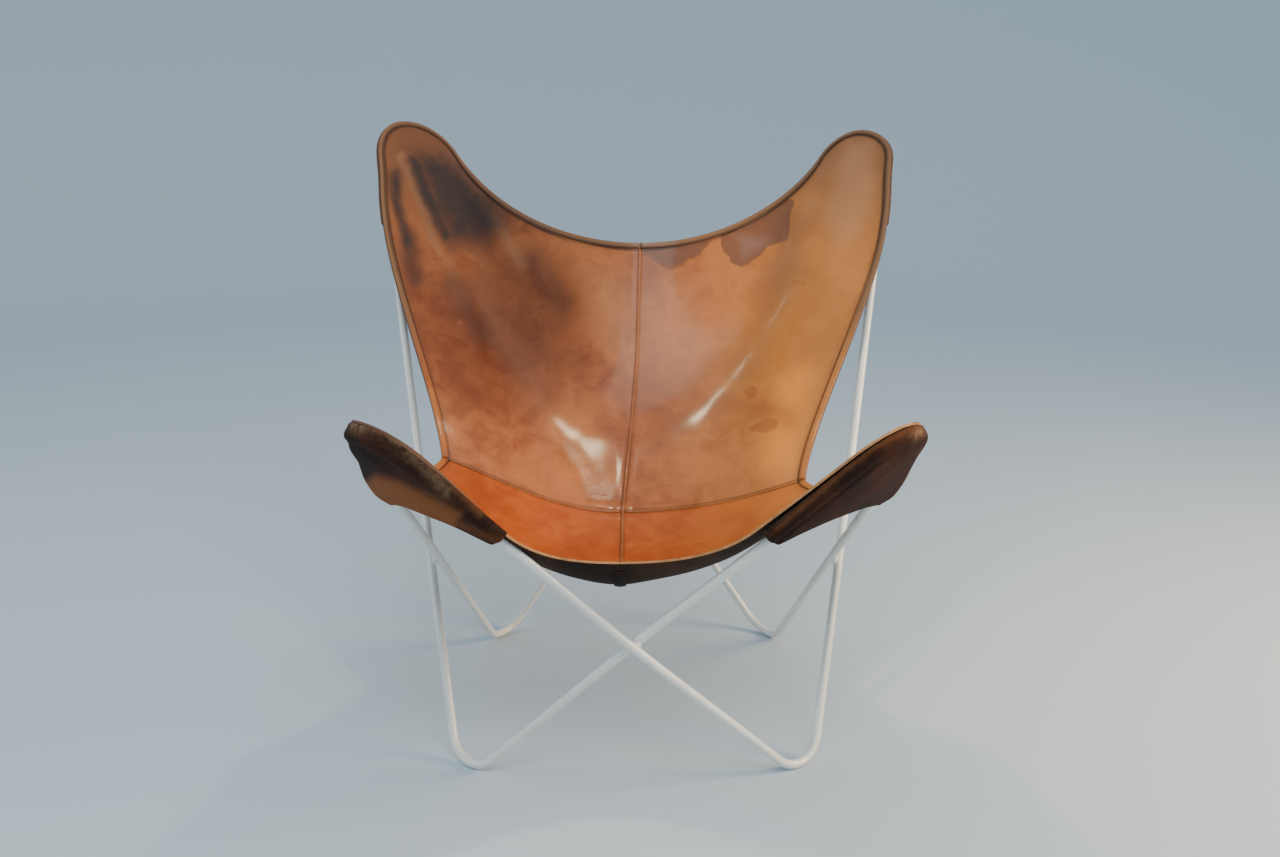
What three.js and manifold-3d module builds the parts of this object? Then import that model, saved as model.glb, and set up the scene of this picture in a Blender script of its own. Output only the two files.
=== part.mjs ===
// Butterfly sling chair: two bent steel rod loops, welded where they cross, carry a leather
// sling of four panels whose pockets slip over the four upper bends. Millimetres, +Z up,
// +X to the sitter's left, which is the right seen from the front, +Y to the back.
import * as THREE from 'three';
import { mergeVertices } from 'three/addons/utils/BufferGeometryUtils.js';
import Module from 'manifold-3d';

const wasm = await Module();
wasm.setup();

// Frame: the corners are where the straight rods would meet if the bends were sharp
const rodDiameter = 12.7;
const bendRadius = 50;
const topBendRadius = 60;
const frontFootHalfSpan = 251;
const rearFootHalfSpan = 242;
const rearFootDepth = 494;
const wingHalfSpan = 361;
const wingForward = 183;
const wingHeight = 573;
const topHalfSpan = 460;
const topDepth = 668;
const topHeight = 988;
const footWear = 0.3;
const touchGap = 0.3;
const weldRadius = 8.5;
const weldHalfHeight = 5;

// Leather: sheet, and how its edge lies off the rods
const leatherThickness = 3.5;
const pocketClearance = 0.5;
const edgeReach = 14;
const topFullness = 14;
const topBulge = 6;
const topBulgeLength = 100;
const wingFullness = 8;
const edgeRise = 1.5;
const topMouthDistance = 315;
const wingMouthDistance = 258;
const leaveDistance = 10;
const mouthFlare = 32;
const mouthFlareLength = 80;
const mouthHollow = 32;

// Sling: its centre line, from the front rim over the seat and up the back
const rimDepth = -88;
const rimHeight = 341;
const foldDepth = 225;
const foldHeight = 309;
const headDepth = 470;
const headHeight = 696;
const crotchHalfWidth = 277;
const crotchDepth = 200;
const crotchHeight = 389;

// Seams, edge strips and stitched tapes
const seamGap = 0.6;
const edgeStripWidth = 10;
const edgeStripThickness = 1.2;
const stripClearance = 0.5;
const stripInset = 0.8;
const weltWidth = 6;
const weltHeight = 1.8;
const weltEdgeHeight = 0.9;
const tapeWidth = 16;
const tapeThickness = 1.5;
const tapeStart = 20;

// Directions of the hanging curves, in degrees from level, the shares of a chord that their
// handles take, and how steeply the rear edge runs out to the wing pocket's wide mouth
const rimFallAngle = -54.7;
const foldRiseAngle = 35;
const headRiseAngle = 68;
const seatHandleShares = [0.37, 0.34];
const backHandleShares = [0.36, 0.36];
const crossHandleShares = [0.38, 0.34];
const crossRiseAngle = 23;
const topHandleShares = [0.4, 0.2];
const sideHandleShares = [0.2, 0.28];
const rimHandleShares = [0.4, 0.3];
const rearHandleShares = [0.3, 0.3];
const backEdgeRiseAngle = 56;
const backEdgeSpreadAngle = 7;
const seatEdgeRiseAngle = -6;
const seatEdgeSpreadAngle = 3;
const flareSlant = 0.4;

// Counts of facets
const rodSides = 12;
const bendSteps = 12;
const halfRodSteps = 5;
const settlePasses = 8;
const arcSteps = 6;
const topSteps = [8, 0];
const sideSteps = [8, 2];
const rimSteps = [6, 2];
const rearSteps = [6, 4];
const topPocketSteps = 2;
const wrapSteps = 3;
const mouthSteps = 4;
const weldSegments = 20;

const rodRadius = rodDiameter / 2;
const half = leatherThickness / 2;
const edgeLift = rodRadius + pocketClearance + half + edgeRise;
const up = new THREE.Vector3(0, 0, 1);
const chair = new THREE.Group();

function material(color, roughness, metalness) {
  return new THREE.MeshStandardMaterial({ color, roughness, metalness });
}

const finishes = {
  lacquer: [0xe9e4d6, 0.35, 0],
  weld: [0xe2dccb, 0.5, 0],
  saddle: [0xa9602c, 0.38, 0],
  seat: [0xb5622a, 0.36, 0],
  pocket: [0x4a2c1b, 0.7, 0],
  strip: [0x9a5a2a, 0.45, 0],
  welt: [0x8a4f26, 0.45, 0],
  tape: [0x3f2618, 0.75, 0],
};

function addPiece(name, geometry, finish) {
  const mesh = new THREE.Mesh(geometry, material(...finishes[finish]));
  mesh.name = name;
  chair.add(mesh);
}

function vec(x, y, z) {
  return new THREE.Vector3(x, y, z);
}

function mirrored(point) {
  return vec(-point.x, point.y, point.z);
}

function along(point, direction, distance) {
  return point.clone().addScaledVector(direction, distance);
}

// The arc of the rod's centre line that rounds a corner between two straight rods
function bendAt(corner, endA, endB, radius) {
  const toA = endA.clone().sub(corner).normalize();
  const toB = endB.clone().sub(corner).normalize();
  const halfAngle = toA.angleTo(toB) / 2;
  const bisector = toA.clone().add(toB).normalize();
  const centre = along(corner, bisector, radius / Math.sin(halfAngle));
  const tangent = radius / Math.tan(halfAngle);
  const outA = along(corner, toA, tangent).sub(centre).normalize();
  const outB = along(corner, toB, tangent).sub(centre).normalize();
  const normal = toA.clone().cross(toB).normalize();
  const sweep = outA.angleTo(outB);
  return { corner, radius, toA, toB, bisector, centre, tangent, outA, outB, normal, sweep };
}

// Direction from the bend's centre at a share of the way from rod A to rod B
function bendDirection(bend, share) {
  const a = Math.sin((1 - share) * bend.sweep) / Math.sin(bend.sweep);
  const b = Math.sin(share * bend.sweep) / Math.sin(bend.sweep);
  return bend.outA.clone().multiplyScalar(a).addScaledVector(bend.outB, b);
}

function bendPoint(bend, share, reach) {
  return along(bend.centre, bendDirection(bend, share), bend.radius + reach);
}

// Corners of one loop: front foot, opposite wing, opposite rear foot, top tip. The feet are
// lowered or raised until the bends stand on the floor.
function loopCorners(side) {
  const corners = [
    vec(side * frontFootHalfSpan, 0, 0),
    vec(-side * wingHalfSpan, -wingForward, wingHeight),
    vec(-side * rearFootHalfSpan, rearFootDepth, 0),
    vec(side * topHalfSpan, topDepth, topHeight),
  ];
  for (let pass = 0; pass < settlePasses; pass += 1) {
    for (const foot of [0, 2]) {
      const bend = bendAt(corners[foot], corners[(foot + 3) % 4], corners[foot + 1], bendRadius);
      const drop = bendRadius * Math.sqrt(1 - bend.normal.z ** 2);
      corners[foot].z += rodRadius - footWear - (bend.centre.z - drop);
    }
  }
  return corners;
}

const rightCorners = loopCorners(1);
const leftCorners = loopCorners(-1);

function bendsOf(corners) {
  return corners.map((corner, index) => {
    const radius = index === 3 ? topBendRadius : bendRadius;
    return bendAt(corner, corners[(index + 3) % 4], corners[(index + 1) % 4], radius);
  });
}

// Where a straight rod passes the rod of the other loop, and how far it has to step aside
function crossingOf(start, end, otherStart, otherEnd, outward) {
  const u = end.clone().sub(start);
  const v = otherEnd.clone().sub(otherStart);
  const w = start.clone().sub(otherStart);
  const uu = u.dot(u);
  const uv = u.dot(v);
  const vv = v.dot(v);
  const scale = uu * vv - uv * uv;
  const share = (uv * v.dot(w) - vv * u.dot(w)) / scale;
  const otherShare = (uu * v.dot(w) - uv * u.dot(w)) / scale;
  const here = along(start, u, share);
  const there = along(otherStart, v, otherShare);
  const normal = u.clone().cross(v).normalize();
  if (normal.dot(outward) < 0) {
    normal.negate();
  }
  const gap = here.clone().sub(there).dot(normal);
  const shift = normal.clone().multiplyScalar((rodDiameter + touchGap - gap) / 2);
  const place = here.lerp(there, 0.5);
  return { share, shift, place, normal };
}

function smooth(x) {
  const t = Math.min(Math.max(x, 0), 1);
  return t * t * (3 - 2 * t);
}

// The directions in which each rod of the right loop passes the left loop: outside it in
// front, behind and on its own side, and inside it on the other side
const passing = [vec(0, -1, 0), vec(1, 0, 0), vec(0, 1, 0), vec(1, 0, 0)];
const partner = [0, 3, 2, 1];

// How far a rod stays straight from each corner, so that it lies still inside the pockets
function calmDistance(bend, index) {
  const mouth = [0, wingMouthDistance, 0, topMouthDistance][index];
  return Math.max(bend.tangent, mouth + leaveDistance);
}

function crossingAt(corners, otherCorners, index, side) {
  const other = partner[index];
  const outward = passing[index].clone().multiplyScalar(side);
  return crossingOf(
    corners[index],
    corners[(index + 1) % 4],
    otherCorners[other],
    otherCorners[(other + 1) % 4],
    outward,
  );
}

// Closed route of a loop's centre line: four bends and four straight rods, each of which
// springs a little aside where it crosses the other loop
function loopRoute(corners, otherCorners, side) {
  const bends = bendsOf(corners);
  const points = [];
  for (let index = 0; index < 4; index += 1) {
    const from = bends[index];
    const to = bends[(index + 1) % 4];
    for (let step = 0; step <= bendSteps; step += 1) {
      points.push(bendPoint(from, step / bendSteps, 0));
    }
    const cross = crossingAt(corners, otherCorners, index, side);
    const length = from.corner.distanceTo(to.corner);
    const middle = cross.share * length;
    const calmStart = calmDistance(from, index);
    const calmEnd = length - calmDistance(to, (index + 1) % 4);
    const end = length - to.tangent;
    for (let step = 1; step < 2 * halfRodSteps; step += 1) {
      const local = step / halfRodSteps;
      const first = from.tangent + (middle - from.tangent) * local;
      const second = middle + (end - middle) * (local - 1);
      const distance = local < 1 ? first : second;
      const rise = smooth((distance - calmStart) / (middle - calmStart));
      const fall = smooth((calmEnd - distance) / (calmEnd - middle));
      const point = along(from.corner, from.toB, distance);
      points.push(point.addScaledVector(cross.shift, Math.min(rise, fall)));
    }
  }
  return points;
}

class SampledLoop extends THREE.Curve {
  constructor(points) {
    super();
    this.points = points;
  }

  getPoint(t, target = new THREE.Vector3()) {
    const place = Math.min(Math.max(t, 0), 1) * this.points.length;
    const index = Math.floor(place);
    const from = this.points[index % this.points.length];
    const to = this.points[(index + 1) % this.points.length];
    return target.copy(from).lerp(to, place - index);
  }

  getPointAt(t, target) {
    return this.getPoint(t, target);
  }

  getTangentAt(t, target) {
    return this.getTangent(t, target);
  }
}

function loopGeometry(route, radius) {
  const start = bendSteps + halfRodSteps;
  const turned = route.slice(start).concat(route.slice(0, start));
  return new THREE.TubeGeometry(new SampledLoop(turned), turned.length, radius, rodSides, true);
}

function toManifold(geometry) {
  const plain = geometry.clone();
  plain.deleteAttribute('normal');
  plain.deleteAttribute('uv');
  const merged = mergeVertices(plain);
  return new wasm.Manifold(new wasm.Mesh({
    numProp: 3,
    vertProperties: new Float32Array(merged.attributes.position.array),
    triVerts: new Uint32Array(merged.index.array),
  }));
}

function fromManifold(solid) {
  const mesh = solid.getMesh();
  const places = new Float32Array(mesh.vertProperties);
  const geometry = new THREE.BufferGeometry();
  geometry.setAttribute('position', new THREE.BufferAttribute(places, 3));
  geometry.setIndex(new THREE.BufferAttribute(new Uint32Array(mesh.triVerts), 1));
  return geometry;
}

function turnedOver(geometry) {
  const copy = geometry.clone();
  const index = copy.index;
  for (let i = 0; i < index.count; i += 3) {
    const first = index.getX(i);
    index.setX(i, index.getX(i + 1));
    index.setX(i + 1, first);
  }
  return copy;
}

function mirrorGeometry(geometry) {
  const copy = turnedOver(geometry);
  const position = copy.attributes.position;
  for (let i = 0; i < position.count; i += 1) {
    position.setX(i, -position.getX(i));
  }
  return copy;
}

// Closed solid between a front and a back layer of points that share their triangles: the
// rim of the triangles is walled by itself
function closedSheet(front, back, triangles) {
  const count = front.length;
  const index = [];
  const open = new Map();
  for (const [a, b, c] of triangles) {
    index.push(a, b, c, count + a, count + c, count + b);
    for (const [from, to] of [[a, b], [b, c], [c, a]]) {
      if (!open.delete(`${to},${from}`)) {
        open.set(`${from},${to}`, [from, to]);
      }
    }
  }
  for (const [from, to] of open.values()) {
    index.push(to, from, count + from, to, count + from, count + to);
  }
  const geometry = new THREE.BufferGeometry();
  const flat = front.concat(back).flatMap((point) => [point.x, point.y, point.z]);
  geometry.setAttribute('position', new THREE.Float32BufferAttribute(flat, 3));
  geometry.setIndex(index);
  return geometry;
}

// Triangles of a grid whose points are listed row by row
function gridTriangles(rows, columns, turned) {
  const triangles = [];
  for (let i = 0; i + 1 < rows; i += 1) {
    for (let j = 0; j + 1 < columns; j += 1) {
      const a = i * columns + j;
      const b = a + 1;
      const c = a + columns;
      const d = c + 1;
      triangles.push(turned ? [a, c, b] : [a, b, c], turned ? [b, c, d] : [b, d, c]);
    }
  }
  return triangles;
}

// Triangles over a rounded outline, laced to and fro from its open end to its apex
function laced(count, turned) {
  const triangles = [];
  let low = 0;
  let high = count - 1;
  while (high - low > 1) {
    const onLow = (low + count - 1 - high) % 2 === 0;
    const corners = onLow ? [low + 1, low, high] : [high, high - 1, low];
    triangles.push(turned ? corners.reverse() : corners);
    low += onLow ? 1 : 0;
    high -= onLow ? 0 : 1;
  }
  return triangles;
}

// The two rod loops

const rightRoute = loopRoute(rightCorners, leftCorners, 1);
const leftRoute = loopRoute(leftCorners, rightCorners, -1);

function wornLoop(route) {
  const size = 4 * (topHalfSpan + topDepth);
  const slab = new THREE.BoxGeometry(size, size, bendRadius);
  slab.translate(0, 0, -bendRadius / 2);
  return fromManifold(toManifold(loopGeometry(route, rodRadius)).subtract(toManifold(slab)));
}

// A bead of weld that fills the hollow all round a crossing of the two rods. The flat sides of
// the rods' facets keep the clearance too.
function weldBead(crossing) {
  const cleared = (rodRadius + touchGap) / Math.cos(Math.PI / rodSides);
  const bead = new THREE.SphereGeometry(1, weldSegments, weldSegments / 2);
  bead.scale(weldRadius, weldRadius, weldHalfHeight);
  bead.applyQuaternion(new THREE.Quaternion().setFromUnitVectors(up, crossing.normal));
  bead.translate(...crossing.place.toArray());
  const right = toManifold(loopGeometry(rightRoute, cleared));
  const left = toManifold(loopGeometry(leftRoute, cleared));
  return fromManifold(toManifold(bead).subtract(right).subtract(left));
}

function buildFrame() {
  addPiece('rod_loop_right', wornLoop(rightRoute), 'lacquer');
  addPiece('rod_loop_left', wornLoop(leftRoute), 'lacquer');
  const names = ['weld_front', 'weld_side_left', 'weld_rear', 'weld_side_right'];
  names.forEach((name, index) => {
    addPiece(name, weldBead(crossingAt(rightCorners, leftCorners, index, 1)), 'weld');
  });
}

// The sling's curves

function heading(rise, spread, forward) {
  const a = THREE.MathUtils.degToRad(rise);
  const b = THREE.MathUtils.degToRad(spread);
  return vec(Math.sin(b), forward * Math.cos(b) * Math.cos(a), Math.cos(b) * Math.sin(a));
}

// Hanging curve between two points that leaves and arrives in given directions, with
// handles that are shares of the chord
function hanging(start, leaving, end, arriving, [leaveShare, arriveShare]) {
  const chord = start.distanceTo(end);
  const first = along(start, leaving, chord * leaveShare);
  const second = along(end, arriving, -chord * arriveShare);
  return new THREE.CubicBezierCurve3(start, first, second, end);
}

const rim = vec(0, rimDepth, rimHeight);
const fold = vec(0, foldDepth, foldHeight);
const head = vec(0, headDepth, headHeight);
const crotch = vec(crotchHalfWidth, crotchDepth, crotchHeight);
const foldHeading = heading(foldRiseAngle, 0, 1);
const seatCurve = hanging(rim, heading(rimFallAngle, 0, 1), fold, foldHeading, seatHandleShares);
const backCurve = hanging(fold, foldHeading, head, heading(headRiseAngle, 0, 1), backHandleShares);
const sideways = vec(1, 0, 0);
const crossArrival = heading(crossRiseAngle, 90, 1).add(heading(crossRiseAngle, 0, 0)).normalize();
const crossCurve = hanging(fold, sideways, crotch, crossArrival, crossHandleShares);

// An upper bend with the leather over it: the direction that faces the sitter, and points of
// the leather's middle surface beside the rods and round the bend
function pocketBend(corners, index) {
  const bend = bendsOf(corners)[index];
  const facing = bend.normal.clone();
  if (facing.dot(fold.clone().sub(bend.corner)) < 0) {
    facing.negate();
  }
  return { ...bend, facing };
}

// How far the leather's edge stands off the rod: every pocket is fuller on side A, the top
// pockets bulge a little down side B, and the wings' are wide at the rear rod's mouth
function reachBeside(bend, side, distance) {
  if (side === 'A') {
    return edgeReach + bend.fullness;
  }
  const bulge = topBulge * smooth((distance - bend.tangent) / topBulgeLength);
  const flare = mouthFlare * smooth(1 - (wingMouthDistance - distance) / mouthFlareLength);
  return edgeReach + (bend.isTop ? bulge : flare);
}

function reachRound(bend, share) {
  return edgeReach + bend.fullness * smooth(1 - share);
}

function besideRod(bend, side, distance) {
  const direction = side === 'A' ? bend.toA : bend.toB;
  const out = side === 'A' ? bend.outA : bend.outB;
  const onRod = along(bend.corner, direction, distance);
  return along(along(onRod, out, reachBeside(bend, side, distance)), bend.facing, edgeLift);
}

function roundBend(bend, share) {
  return along(bendPoint(bend, share, reachRound(bend, share)), bend.facing, edgeLift);
}

function sampled(curve, steps) {
  return curve.getSpacedPoints(steps);
}

// Edge from a point of the sling to a bend's apex: a hanging stretch, a straight one beside
// the rod, and the round end
function edgePoints(bend, side, start, leaving, leave, counts, handleShares) {
  const [hangSteps, rodSteps] = counts;
  const first = side === 'A' ? 0 : 1;
  const arriving = (side === 'A' ? bend.toA : bend.toB).clone().negate();
  if (side === 'B' && !bend.isTop) {
    arriving.addScaledVector(bend.outB, flareSlant).normalize();
  }
  const join = besideRod(bend, side, leave);
  const points = sampled(hanging(start, leaving, join, arriving, handleShares), hangSteps);
  for (let step = 1; step <= rodSteps; step += 1) {
    points.push(besideRod(bend, side, leave + (bend.tangent - leave) * (step / rodSteps)));
  }
  for (let step = 1; step <= arcSteps; step += 1) {
    points.push(roundBend(bend, first + (0.5 - first) * (step / arcSteps)));
  }
  return points;
}

// Sheet of leather stretched over four edge curves: rows run from the cross seam to the far
// edge, columns from the centre seam to the outside
function stretchedGrid(seam, centre, far, outer) {
  const rows = centre.length;
  const columns = seam.length;
  const grid = [];
  for (let i = 0; i < rows; i += 1) {
    const a = i / (rows - 1);
    const row = [];
    for (let j = 0; j < columns; j += 1) {
      const b = j / (columns - 1);
      const point = vec(0, 0, 0);
      point.addScaledVector(seam[j], 1 - a).addScaledVector(far[j], a);
      point.addScaledVector(centre[i], 1 - b).addScaledVector(outer[i], b);
      point.addScaledVector(seam[0], -(1 - a) * (1 - b));
      point.addScaledVector(seam[columns - 1], -(1 - a) * b);
      point.addScaledVector(far[0], -a * (1 - b));
      point.addScaledVector(far[columns - 1], -a * b);
      row.push(point);
    }
    grid.push(row);
  }
  return grid;
}

function gridNormals(grid, turned) {
  const columns = grid[0].length;
  const points = grid.flat();
  const normals = points.map(() => vec(0, 0, 0));
  for (const [a, b, c] of gridTriangles(grid.length, columns, turned)) {
    const face = points[b].clone().sub(points[a]).cross(points[c].clone().sub(points[a]));
    normals[a].add(face);
    normals[b].add(face);
    normals[c].add(face);
  }
  return grid.map((row, i) => row.map((point, j) => normals[i * columns + j].normalize()));
}

const topBend = { ...pocketBend(rightCorners, 3), isTop: true, fullness: topFullness };
const wingBend = { ...pocketBend(leftCorners, 1), isTop: false, fullness: wingFullness };
const backHeading = heading(backEdgeRiseAngle, backEdgeSpreadAngle, 1);
const seatHeading = heading(seatEdgeRiseAngle, seatEdgeSpreadAngle, -1);
const topLeave = topBend.tangent;
const sideLeave = topMouthDistance + leaveDistance;
const wingLeave = wingMouthDistance + leaveDistance;
const topEdge = edgePoints(topBend, 'A', head, sideways, topLeave, topSteps, topHandleShares);
const sideEdge = edgePoints(topBend, 'B', crotch, backHeading, sideLeave, sideSteps, sideHandleShares);
const rimEdge = edgePoints(wingBend, 'A', rim, sideways, wingLeave, rimSteps, rimHandleShares);
const rearEdge = edgePoints(wingBend, 'B', crotch, seatHeading, wingLeave, rearSteps, rearHandleShares);
const seamPoints = sampled(crossCurve, topEdge.length - 1);
const backCentre = sampled(backCurve, sideEdge.length - 1);
const seatCentre = sampled(seatCurve, rearEdge.length - 1).reverse();
const backGrid = stretchedGrid(seamPoints, backCentre, topEdge, sideEdge);
const seatGrid = stretchedGrid(seamPoints, seatCentre, rimEdge, rearEdge);
const backNormals = gridNormals(backGrid, false);
const seatNormals = gridNormals(seatGrid, true);

// Both panels share their normals along the cross seam, and stand upright to the mirror plane
// along the centre seam
function matchNormals() {
  seamPoints.forEach((point, j) => {
    const shared = backNormals[0][j].clone().add(seatNormals[0][j]).normalize();
    backNormals[0][j].copy(shared);
    seatNormals[0][j].copy(shared);
  });
  for (const row of backNormals.concat(seatNormals)) {
    row[0].setX(0).normalize();
  }
}

// Middle surface of a panel, drawn back a little from both seams
function seamed({ middle, normals }) {
  const drawn = middle.map((row) => row.map((point) => point.clone()));
  drawn[0].forEach((point, j) => {
    const inward = middle[1][j].clone().sub(middle[0][j]).normalize();
    point.addScaledVector(inward, seamGap / 2);
  });
  drawn.forEach((row) => row[0].setX(seamGap / 2));
  return { middle: drawn, normals };
}

function sheetSolid({ middle, normals }, reach, turned) {
  const points = middle.flat();
  const upright = normals.flat();
  const layer = (height) => points.map((point, i) => along(point, upright[i], height));
  const triangles = gridTriangles(middle.length, middle[0].length, turned);
  return closedSheet(layer(reach), layer(-reach), triangles);
}

function addPair(name, geometry, finish) {
  addPiece(`${name}_right`, geometry, finish);
  addPiece(`${name}_left`, mirrorGeometry(geometry), finish);
}

// How far a pocket's outer face is skived off where its web meets the panel at an angle
function skiveOf(web, run) {
  const most = 2 * leatherThickness;
  return run > 0 ? Math.min(leatherThickness * Math.tan(web), most) : most;
}

// Section of a pocket across the rod, as heights over the reach from the rod's centre line:
// from the panel's edge a web runs down to the rod and wraps round it
function pocketSection(reach, edge) {
  const inner = rodRadius + pocketClearance;
  const outer = inner + leatherThickness;
  const first = Math.atan2(edge, reach) - Math.acos(inner / Math.hypot(reach, edge));
  const run = reach - inner * Math.cos(first);
  const rise = edge - inner * Math.sin(first);
  const web = Math.atan2(rise, run);
  const skive = skiveOf(web, run);
  const across = leatherThickness * Math.sin(web) - skive * Math.cos(web);
  const down = leatherThickness * Math.cos(web) + skive * Math.sin(web);
  const section = [{ front: [reach, edge], back: [reach + across, edge - down] }];
  for (let step = 0; step <= wrapSteps; step += 1) {
    const angle = first + (-Math.PI / 2 - first) * (step / wrapSteps);
    const [x, y] = [Math.cos(angle), Math.sin(angle)];
    section.push({ front: [inner * x, inner * y], back: [outer * x, outer * y] });
  }
  return section;
}

// Triangles between a pocket's hollow mouth, given as the line of its points, and the first
// pair of points behind it
function mouthTriangles(line, first, last) {
  const middle = Math.floor(line.length / 2);
  const triangles = line.slice(1).map((point, i) => [i < middle ? first : last, line[i], point]);
  triangles.push([first, line[middle], last]);
  return triangles;
}

// The front and the back of a pocket: its section across the rod at each point of its outline
function pocketLayers(bend, outline, apex) {
  const front = [];
  const back = [];
  outline.forEach((point, i) => {
    const height = point.clone().sub(bend.corner).dot(bend.facing);
    const flat = along(point, bend.facing, -height);
    const side = i < apex ? bend.toA : bend.toB;
    const distance = flat.clone().sub(bend.corner).dot(side);
    const onRod = distance > bend.tangent;
    const beside = i < apex ? bend.outA : bend.outB;
    const out = onRod ? beside : flat.clone().sub(bend.centre).normalize();
    const foot = onRod ? along(bend.corner, side, distance) : along(bend.centre, out, bend.radius);
    const reach = flat.clone().sub(foot).dot(out);
    for (const place of pocketSection(reach, height - half - 2 * touchGap)) {
      const at = ([across, rise]) => along(along(foot, out, across), bend.facing, rise);
      front.push(at(place.front));
      back.push(at(place.back));
    }
  });
  return [front, back];
}

// Adds the points of a pocket's hollow mouth to its layers, and returns the line of the mouth
function hollowMouth(layers, from, to, bisector) {
  const line = [from];
  for (let step = 1; step < mouthSteps; step += 1) {
    const share = step / mouthSteps;
    const depth = 4 * mouthHollow * share * (1 - share);
    line.push(layers[0].length);
    for (const layer of layers) {
      const point = layer[from].clone().lerp(layer[to], share);
      layer.push(point.addScaledVector(bisector, -depth));
    }
  }
  return line.concat(to);
}

// The pocket's own layer: stitched behind the panel's edge, it wraps round the rods and lies
// flat behind them, with its mouth cut hollow
function pocketSolid(bend, outline, apex) {
  const layers = pocketLayers(bend, outline, apex);
  const columns = wrapSteps + 2;
  const flat = (i) => i * columns + columns - 1;
  const last = outline.length - 1;
  const mouth = hollowMouth(layers, flat(0), flat(last), bend.bisector);
  const turned = bend.normal.dot(bend.facing) * topBend.normal.dot(topBend.facing) > 0;
  const triangles = gridTriangles(outline.length, columns, turned);
  for (const corners of mouthTriangles(mouth, flat(1), flat(last - 1))) {
    triangles.push(turned ? corners.reverse() : corners);
  }
  for (const corners of laced(outline.length - 2, turned)) {
    triangles.push(corners.map((i) => flat(i + 1)));
  }
  return closedSheet(layers[1], layers[0], triangles);
}

// Strips, welts and tapes are rows of places on the leather's middle surface, each with its
// normal. They are built from that surface outwards, and the leather with its clearance is
// then cut out of them.

function placeOn({ middle, normals }, i, j) {
  return { point: middle[i][j], normal: normals[i][j] };
}

function between(from, to, distance) {
  const share = distance / from.point.distanceTo(to.point);
  return {
    point: from.point.clone().lerp(to.point, share),
    normal: from.normal.clone().lerp(to.normal, share).normalize(),
  };
}

// Length of the way along a line of places, with its ends drawn in by two distances
function trimmed(line, startCut, endCut) {
  const shorten = (places, cut) => {
    const rest = places.slice();
    let left = cut;
    while (rest.length > 2 && rest[0].point.distanceTo(rest[1].point) < left) {
      left -= rest[0].point.distanceTo(rest[1].point);
      rest.shift();
    }
    rest[0] = between(rest[0], rest[1], left);
    return rest;
  };
  return shorten(shorten(line, startCut).reverse(), endCut).reverse();
}

// Strip whose rows run along it: each row's places lie across it, and the heights give its
// section. The winding is turned if the solid comes out inside out.
function stripSolid(rows, lows, highs) {
  const raised = (row, heights) => row.map(({ point, normal }, k) => along(point, normal, heights[k]));
  const layer = (heights) => rows.flatMap((row) => raised(row, heights));
  const triangles = gridTriangles(rows.length, rows[0].length, false);
  const geometry = closedSheet(layer(highs), layer(lows), triangles);
  return signedVolume(geometry) < 0 ? turnedOver(geometry) : geometry;
}

function signedVolume(geometry) {
  const position = geometry.attributes.position;
  const corner = (i) => vec(0, 0, 0).fromBufferAttribute(position, geometry.index.getX(i));
  let volume = 0;
  for (let i = 0; i < geometry.index.count; i += 3) {
    volume += corner(i).dot(corner(i + 1).cross(corner(i + 2)));
  }
  return volume;
}

// Directions across a strip at each place of a line: towards the neighbours that lie on one
// side of it, at a right angle to the line
function crossRow(line, neighbours, i, distance) {
  const before = line[Math.max(i - 1, 0)].point;
  const after = line[Math.min(i + 1, line.length - 1)].point;
  const travel = after.clone().sub(before).normalize();
  const aside = neighbours[i].point.clone().sub(line[i].point).normalize();
  const slant = aside.clone().addScaledVector(travel, -aside.dot(travel)).length();
  return between(line[i], neighbours[i], distance / slant);
}

matchNormals();
const backWhole = { middle: backGrid, normals: backNormals };
const seatWhole = { middle: seatGrid, normals: seatNormals };
const backSheet = seamed(backWhole);
const seatSheet = seamed(seatWhole);
const backRows = backGrid.length - 1;
const seatRows = seatGrid.length - 1;
const columns = seamPoints.length - 1;

// The leather of the whole sling with the clearance that stitched pieces keep from it. The
// seat's first row is the back's, so that the sheet has no break along the cross seam.
function clearedLeather() {
  const reach = half + stripClearance;
  const across = columns + 1;
  const points = backGrid.flat().concat(seatGrid.slice(1).flat());
  const normals = backNormals.flat().concat(seatNormals.slice(1).flat());
  const shift = (backGrid.length - 1) * across;
  const seatIndex = (index) => (index < across ? index : index + shift);
  const triangles = gridTriangles(backGrid.length, across, false);
  for (const triangle of gridTriangles(seatGrid.length, across, true)) {
    triangles.push(triangle.map(seatIndex));
  }
  const layer = (height) => points.map((point, i) => along(point, normals[i], height));
  const sheet = closedSheet(layer(reach), layer(-reach), triangles);
  return toManifold(sheet).add(toManifold(mirrorGeometry(sheet)));
}

const leather = clearedLeather();

function stitched(geometry) {
  return fromManifold(toManifold(geometry).subtract(leather));
}

function buildPanels() {
  addPair('back_panel', sheetSolid(backSheet, half, false), 'saddle');
  addPair('seat_panel', sheetSolid(seatSheet, half, true), 'seat');
}

function buildPockets() {
  const topSide = sideEdge.slice(-(arcSteps + sideSteps[1] + 1)).reverse();
  const topOutline = topEdge.slice(-(topPocketSteps + arcSteps + 1)).concat(topSide.slice(1));
  addPair('back_pocket', pocketSolid(topBend, topOutline, topPocketSteps + arcSteps), 'pocket');
  const wingSide = rearEdge.slice(-(arcSteps + rearSteps[1] + 1)).reverse();
  const wingOutline = rimEdge.slice(-(rimSteps[1] + arcSteps + 1)).concat(wingSide.slice(1));
  addPair('seat_pocket', pocketSolid(wingBend, wingOutline, rimSteps[1] + arcSteps), 'pocket');
}

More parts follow.
